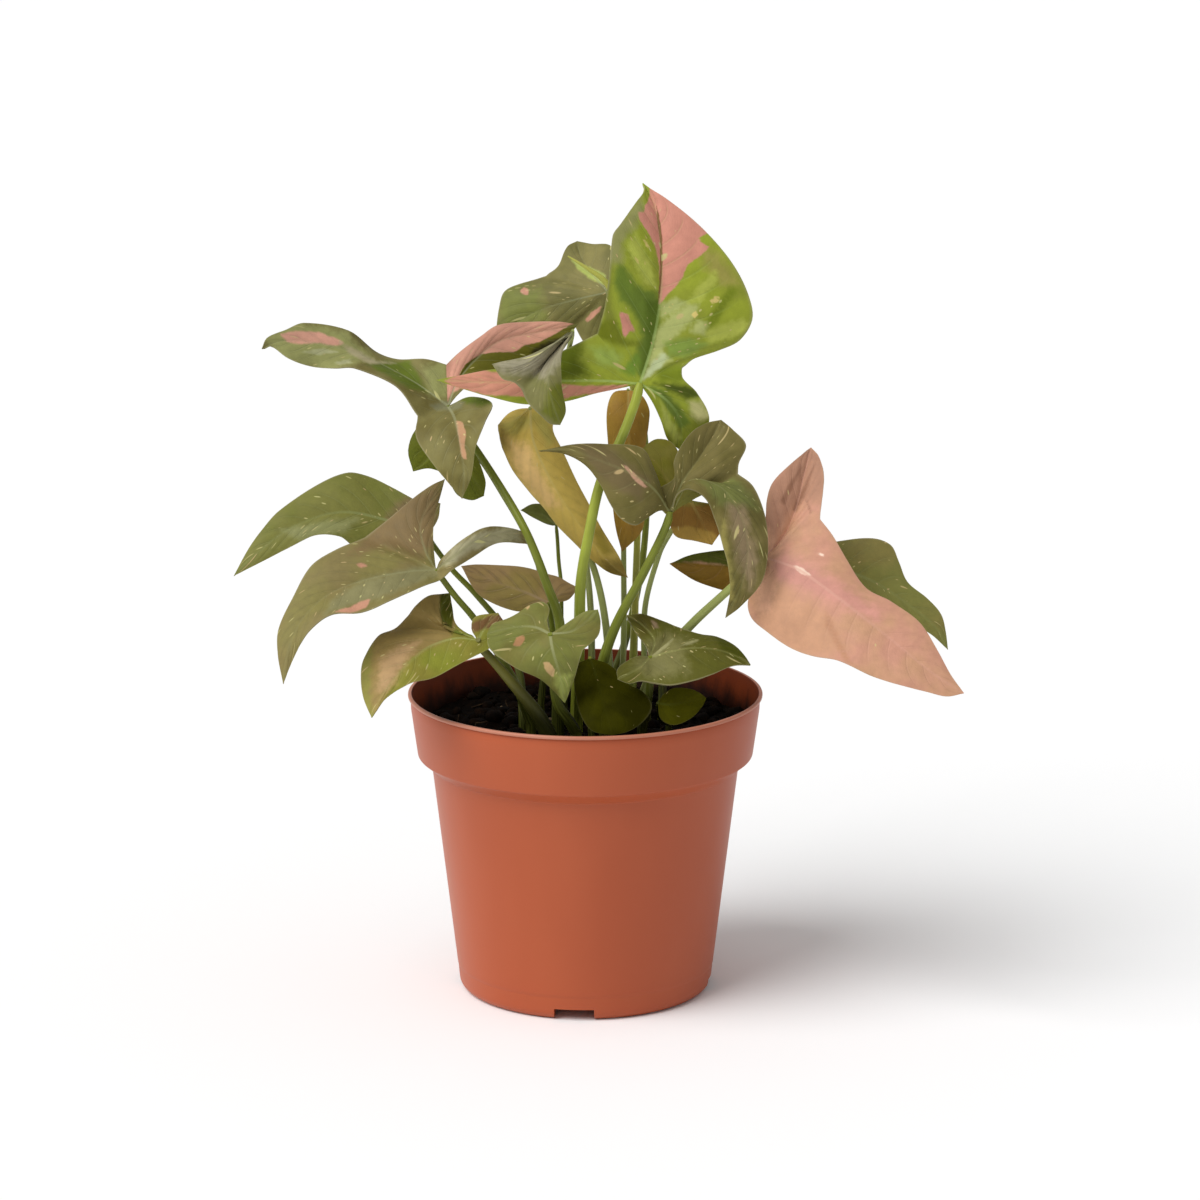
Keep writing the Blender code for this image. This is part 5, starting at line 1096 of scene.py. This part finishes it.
def turned(name, profile, steps):
    # the closed profile, turned around the pot's axis; its stretch on the axis has no edge
    mesh = bpy.data.meshes.new(name)
    outline = bmesh.new()
    corners = [outline.verts.new((radius, 0, height)) for radius, height in profile]
    for first, second in zip(corners, corners[1:] + corners[:1]):
        if max(first.co.x, second.co.x) > 0:
            outline.edges.new((first, second))
    outline.to_mesh(mesh)
    outline.free()
    piece = newObject(name, mesh)
    screw = piece.modifiers.new("Turn", "SCREW")
    screw.steps = screw.render_steps = steps
    screw.use_merge_vertices = True
    screw.merge_threshold = 0.00001
    return piece


def finished(piece, name):
    # the object with its modifiers worked out into a plain mesh
    bpy.context.view_layer.update()
    drawn = piece.evaluated_get(bpy.context.evaluated_depsgraph_get())
    mesh = bpy.data.meshes.new_from_object(drawn)
    mesh.name = name
    bpy.data.objects.remove(piece)
    return newObject(name, mesh)


def arc(radius, height, size, start, end, steps):
    angles = [math.radians(start + (end - start) * step / steps) for step in range(steps + 1)]
    return [(radius + size * math.cos(angle), height + size * math.sin(angle)) for angle in angles]


def potProfile(p):
    # (radius, height) down the outside: lip with its groove, band, shoulder, body with the mould's line, foot
    lipFoot = p["height"] - p["lipHeight"]
    bandFoot = p["height"] - p["bandHeight"]
    shoulder = bandFoot - p["shoulderDrop"]
    profile = arc(p["rimRadius"] - p["bead"], p["height"] - p["bead"], p["bead"], 90, 0, 5)
    profile += arc(p["rimRadius"] - p["bead"], lipFoot + p["bead"], p["bead"], 0, -75, 4)
    groove = p["rimRadius"] - p["lipGroove"]
    profile += [(groove - 0.0002, lipFoot - 0.0001), (groove, lipFoot - 0.0007)]
    profile += [(p["rimRadius"] - 0.0010, lipFoot - 0.004), (p["bandFootRadius"] + 0.0007, bandFoot + 0.006)]
    corner = p["bandCorner"]
    profile += arc(p["bandFootRadius"] - corner, bandFoot + corner, corner, 0, -65, 4)
    corner = p["shoulderCorner"]
    profile += arc(p["bodyTopRadius"] + corner, shoulder - 0.0004, corner, 110, 180, 3)
    slope = (p["bodyTopRadius"] - p["bodyFootRadius"]) / (shoulder - p["footCorner"])
    lineUp = p["mouldLineHeight"]
    lineRadius = p["bodyFootRadius"] + slope * (lineUp - p["footCorner"])
    below = lineRadius - p["mouldLineStep"]
    profile += [(lineRadius + slope * 0.001, lineUp + 0.001), (lineRadius, lineUp)]
    profile += [(below, lineUp - 0.0002), (below - slope * 0.0006, lineUp - 0.0008)]
    profile += arc(p["bodyFootRadius"] - p["footCorner"], p["footCorner"], p["footCorner"], 0, -70, 7)

    # in under the foot ring and the floor to the well, and back up inside
    outer, inner, root = [p["bodyFootRadius"] - setIn for setIn in p["footRing"]]
    well, wellFoot = p["wellRadius"], p["wellFoot"]
    wall, below = p["wall"], p["floorRaise"]
    floor = below + wall
    foot = p["bodyFootRadius"] - wall
    profile += [(outer, 0), (inner, 0), (root, below), (well, below), (wellFoot, 0), (0.0, 0)]
    profile += [(0.0, wall), (wellFoot - wall, wall), (well - wall, floor)]
    profile += [(foot - 0.003, floor), (foot + 0.0004, floor + 0.004)]
    profile += [(p["bodyTopRadius"] - wall, shoulder + 0.0006)]
    profile += [(p["bandFootRadius"] - wall - 0.0004, bandFoot + 0.001)]
    bead = p["innerBead"]
    return profile + arc(p["rimRadius"] - wall + bead, p["height"] - bead, bead, 180, 90, 3)


def potCutters(p):
    # rounded blocks for the foot notches and plain rods for the drain holes
    cutters = []
    for index in range(p["notches"]):
        angle = math.radians(p["notchTurn"] + 360 / p["notches"] * index)
        bpy.ops.mesh.primitive_cube_add(size=1)
        block = bpy.context.object
        block.scale = (p["notchReach"], p["notchWidth"], p["notchHeight"] + 0.001)
        reach = p["bodyFootRadius"] - 0.002
        block.location = (reach * math.cos(angle), reach * math.sin(angle), p["notchHeight"] / 2 - 0.0005)
        block.rotation_euler.z = angle
        edge = block.modifiers.new("Round", "BEVEL")
        edge.width = p["notchCorner"]
        edge.segments = 2
        cutters.append(block)
    for index in range(p["drainHoles"]):
        angle = 2 * math.pi * (index + 0.5) / p["drainHoles"]
        spot = (p["drainRing"] * math.cos(angle), p["drainRing"] * math.sin(angle), 0.005)
        bpy.ops.mesh.primitive_cylinder_add(vertices=28, radius=p["drainRadius"], depth=p["drainDepth"],
                                            location=spot)
        cutters.append(bpy.context.object)
    return cutters


def makePot():
    p = potShape
    pot = turned("potTurning", potProfile(p), p["steps"])
    cutters = potCutters(p)
    for cutter in cutters:
        cut = pot.modifiers.new("Cut", "BOOLEAN")
        cut.operation = "DIFFERENCE"
        cut.object = cutter
    pot = finished(pot, "moulded_pot")
    for cutter in cutters:
        bpy.data.objects.remove(cutter)
    pot.data.materials.clear()
    for name, skin in potSkins.items():
        pot.data.materials.append(potPlastic(name, skin))
    # the lip outside gets the painted highlight, the wall inside the painted shade and peat stain, the rest
    # the plain plastic
    for face in pot.data.polygons:
        centre, normal = face.center, face.normal
        radius = math.hypot(centre.x, centre.y)
        inward = radius > 1e-6 and (normal.x * centre.x + normal.y * centre.y) / radius < -0.3
        onLip = centre.z > p["height"] - p["lipHeight"] and radius > p["rimRadius"] - p["wall"] - 0.0001
        face.material_index = 2 if onLip and not inward else 1 if inward and centre.z > 0.006 else 0
    pot.data.shade_smooth()
    pot.data.set_sharp_from_angle(angle=math.radians(p["sharpAngle"]))
    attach(pot, "root")
    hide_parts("pot")


makePot()
print("pot made")

# Peat, in metres: crumbs and bits with their number, size from and to, and flatness; fibres with their
# number, shortest length and what they may have more, and the same for their thickness. Below the surface,
# each ring of the side has a radius and a height.
peatShape = {"edgeRadius": 0.0554, "lump": 0.0026, "edgeEase": 0.006, "rings": 60, "spokes": 150,
             "side": ((0.0550, 0.084), (0.0503, 0.0785), (0.0415, 0.0125), (0.0388, 0.0058)),
             "crumbs": (520, 0.0012, 0.0075, 0.45), "paleBits": (16, 0.001, 0.0022, 0.4),
             "fibres": (90, 0.004, 0.007, 0.00016, 0.00016), "clod": 0.004, "grain": 0.0009,
             "grainDepth": 0.0004, "seed": 7}
peatColours = {"moistPeat": ("#060301", "#180E06"), "peatCrumb": ("#070402", "#20130A"),
               "barkChip": ("#6E5A42", "#A8977C"), "peatFibre": ("#2C2016", "#5A452F")}


def peatSkin(name):
    # Milled peat, kept moist: matt and nearly black, in clods of about 4 mm. Bark and fibres are paler.
    material, addNode, shader = newMaterial(name)
    dark, light = peatColours[name]
    where = addNode("TexCoord")["Object"]
    lumps = addNode("TexNoise", Vector=where, Scale=1 / peatShape["clod"], Detail=5.0, Roughness=0.7)[0]
    share = addNode("MapRange", i0=lumps, i1=0.45, i2=0.75)[0]
    colour = addNode("Mix", mixColours, i0=share, i6=linear(dark), i7=linear(light))[2]
    fine = addNode("TexNoise", Vector=where, Scale=1 / peatShape["grain"], Detail=4.0)[0]
    bump = addNode("Bump", i0=0.9, i1=peatShape["grainDepth"], Height=fine)[0]
    rough = addNode("MapRange", i0=lumps, i1=0.3, i2=0.7, i3=0.7, i4=0.95)[0]
    feed(shader, Base_Color=colour, Roughness=rough, IOR=1.4, Specular_IOR_Level=0.06, Normal=bump)
    return material


def peatHeight(x, y):
    # lumps from 13 mm down to 1 mm, lower along the wall
    spot = Vector((x, y, 0))
    ease = max(0.0, min(1.0, (peatShape["edgeRadius"] - math.hypot(x, y)) / peatShape["edgeEase"]))
    lump = noise.noise(spot * 75 + Vector((0, 0, soilTop * 75))) + 0.6 * noise.noise(spot * 190)
    fine = 0.5 * noise.noise(spot * 420) + 0.3 * noise.noise(spot * 900)
    return soilTop + peatShape["lump"] * (lump + fine * 0.8) * (0.35 + 0.65 * ease)


def peatRing(radius, height=None):
    spokes = peatShape["spokes"]
    angles = [2 * math.pi * spoke / spokes for spoke in range(spokes)]
    ring = [(radius * math.cos(angle), radius * math.sin(angle)) for angle in angles]
    return [(x, y, peatHeight(x, y) if height is None else height) for x, y in ring]


def peatBody():
    # rings from the middle of the surface to the wall and down it, closed below
    rings, spokes = peatShape["rings"], peatShape["spokes"]
    spots = [(0, 0, peatHeight(0, 0))]
    for ring in range(1, rings + 1):
        spots += peatRing(peatShape["edgeRadius"] * ring / rings)
    for radius, height in peatShape["side"]:
        spots += peatRing(radius, height)
    faces = [[0, 1 + s, 1 + (s + 1) % spokes] for s in range(spokes)]
    for low in range(1, len(spots) - spokes, spokes):
        for s in range(spokes):
            after = (s + 1) % spokes
            faces.append([low + s, low + spokes + s, low + spokes + after, low + after])
    faces.append([len(spots) - spokes + s for s in reversed(range(spokes))])
    mesh = bpy.data.meshes.new("peat")
    mesh.from_pydata(spots, [], faces)
    mesh.update()
    return mesh


def strewnSpot(rng, setIn):
    # a place on the peat, evenly spread over its round
    radius = (peatShape["edgeRadius"] - setIn) * math.sqrt(rng.random())
    angle = rng.random() * 2 * math.pi
    return radius * math.cos(angle), radius * math.sin(angle)


def strewnBits(name, rng, count, low, high, flat):
    # bumpy flattened lumps that lie turned and half sunk, most of them near the low size
    heap = bmesh.new()
    for _ in range(count):
        x, y = strewnSpot(rng, 0.002)
        size = low + (high - low) * rng.random() ** 2
        made = bmesh.ops.create_icosphere(heap, subdivisions=2, radius=size / 2)["verts"]
        turn = Matrix.Rotation(rng.random() * 6.28, 3, "Z")
        turn = turn @ Matrix.Rotation(rng.random() * 1.2 - 0.6, 3, "X")
        stretch = Vector((1, 0.6 + 0.4 * rng.random(), flat + 0.3 * rng.random()))
        shift = Vector(rng.random(3) * 50)
        for vert in made:
            bumpy = 1 + 0.35 * noise.noise(vert.co / size * 2.2 + shift)
            vert.co = turn @ (vert.co * stretch * bumpy) + Vector((x, y, peatHeight(x, y) + size * 0.12))
    mesh = bpy.data.meshes.new(name)
    heap.to_mesh(mesh)
    heap.free()
    return mesh


def strewnFibres(rng, count, shortest, moreLength, thinnest, moreThickness):
    # bent threads with three sides, which end short of the wall
    threads = bmesh.new()
    for _ in range(count):
        x, y = strewnSpot(rng, 0.004)
        head = rng.random() * 2 * math.pi
        length = shortest + moreLength * rng.random()
        thick = thinnest + moreThickness * rng.random()
        bend = rng.random() - 0.5
        rings = []
        for step in range(5):
            way = head + bend * step * 0.5
            px = x + math.cos(way) * length * step / 4
            py = y + math.sin(way) * length * step / 4
            if math.hypot(px, py) > peatShape["edgeRadius"] - 0.0015:
                break
            centre = Vector((px, py, peatHeight(px, py) + thick + 0.0006 * math.sin(step * 1.1)))
            side, up = Vector((-math.sin(way), math.cos(way), 0)), Vector((0, 0, 1))
            turns = [k * 2.094 for k in range(3)]
            corners = [centre + side * thick * math.cos(a) + up * thick * math.sin(a) for a in turns]
            rings.append([threads.verts.new(corner) for corner in corners])
        for a, b in zip(rings, rings[1:]):
            for k in range(3):
                threads.faces.new([a[k], a[(k + 1) % 3], b[(k + 1) % 3], b[k]])
        if len(rings) > 1:
            threads.faces.new(list(reversed(rings[0])))
            threads.faces.new(rings[-1])
    loose = [vert for vert in threads.verts if not vert.link_faces]
    bmesh.ops.delete(threads, geom=loose, context="VERTS")
    bmesh.ops.recalc_face_normals(threads, faces=threads.faces)
    mesh = bpy.data.meshes.new("peatFibres")
    threads.to_mesh(mesh)
    threads.free()
    return mesh


def makePeat():
    rng = np.random.default_rng(peatShape["seed"])
    body = peatBody()
    body.shade_smooth()
    body.materials.append(peatSkin("moistPeat"))
    peat = newObject("peat", body)
    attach(peat, "root")
    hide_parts("soil")
    crumbs = strewnBits("peatCrumbs", rng, *peatShape["crumbs"])
    crumbs.shade_smooth()
    crumbs.materials.append(peatSkin("peatCrumb"))
    bits = strewnBits("paleBits", rng, *peatShape["paleBits"])
    bits.shade_smooth()
    bits.materials.append(peatSkin("barkChip"))
    fibres = strewnFibres(rng, *peatShape["fibres"])
    fibres.materials.append(peatSkin("peatFibre"))
    for mesh in (crumbs, bits, fibres):
        piece = newObject(mesh.name, mesh)
        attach(piece, "root")


makePeat()
print("peat made")

# Studio: a floor of board painted matt, so pale and even, one broad soft lamp high on the left, and white
# surroundings.
studio = {"floorSize": 16.0, "floorColour": "#FAFAFA", "world": 0.45, "lampStrength": 2.6, "lampSpread": 45,
          "lampPlace": (-0.62, -0.42, 0.86)}
bpy.ops.mesh.primitive_plane_add(size=studio["floorSize"], location=(0, 4, 0))
floor = bpy.context.object
floor.name = "floor"
paper, _, paperShader = newMaterial("paintedFloor")
feed(paperShader, Base_Color=linear(studio["floorColour"]), Roughness=0.9, IOR=1.2)
floor.data.materials.append(paper)
softLamp = bpy.data.lights.new("softLamp", "SUN")
softLamp.energy = studio["lampStrength"]
softLamp.angle = math.radians(studio["lampSpread"])
lampObject = newObject("softLamp", softLamp)
lampObject.rotation_euler = (-Vector(studio["lampPlace"])).to_track_quat("-Z", "Y").to_euler()
world = bpy.data.worlds.new("studio")
bpy.context.scene.world = world
world.use_nodes = True
feed(world.node_tree.nodes["Background"], i0=(1, 1, 1, 1), i1=studio["world"])

camera = bpy.data.cameras.new("camera")
camera.sensor_width = 36
camera.lens = camera.sensor_width * frontView["focalPixels"] / frontView["framePixels"]
camera.clip_end = 50
cameraObject = newObject("camera", camera)
turn = Matrix((viewRight, viewUp, viewBack)).transposed().to_4x4()
cameraObject.matrix_world = Matrix.Translation(eye) @ turn
bpy.context.scene.camera = cameraObject
bpy.context.scene.view_settings.view_transform = "Standard"

print("scene done")
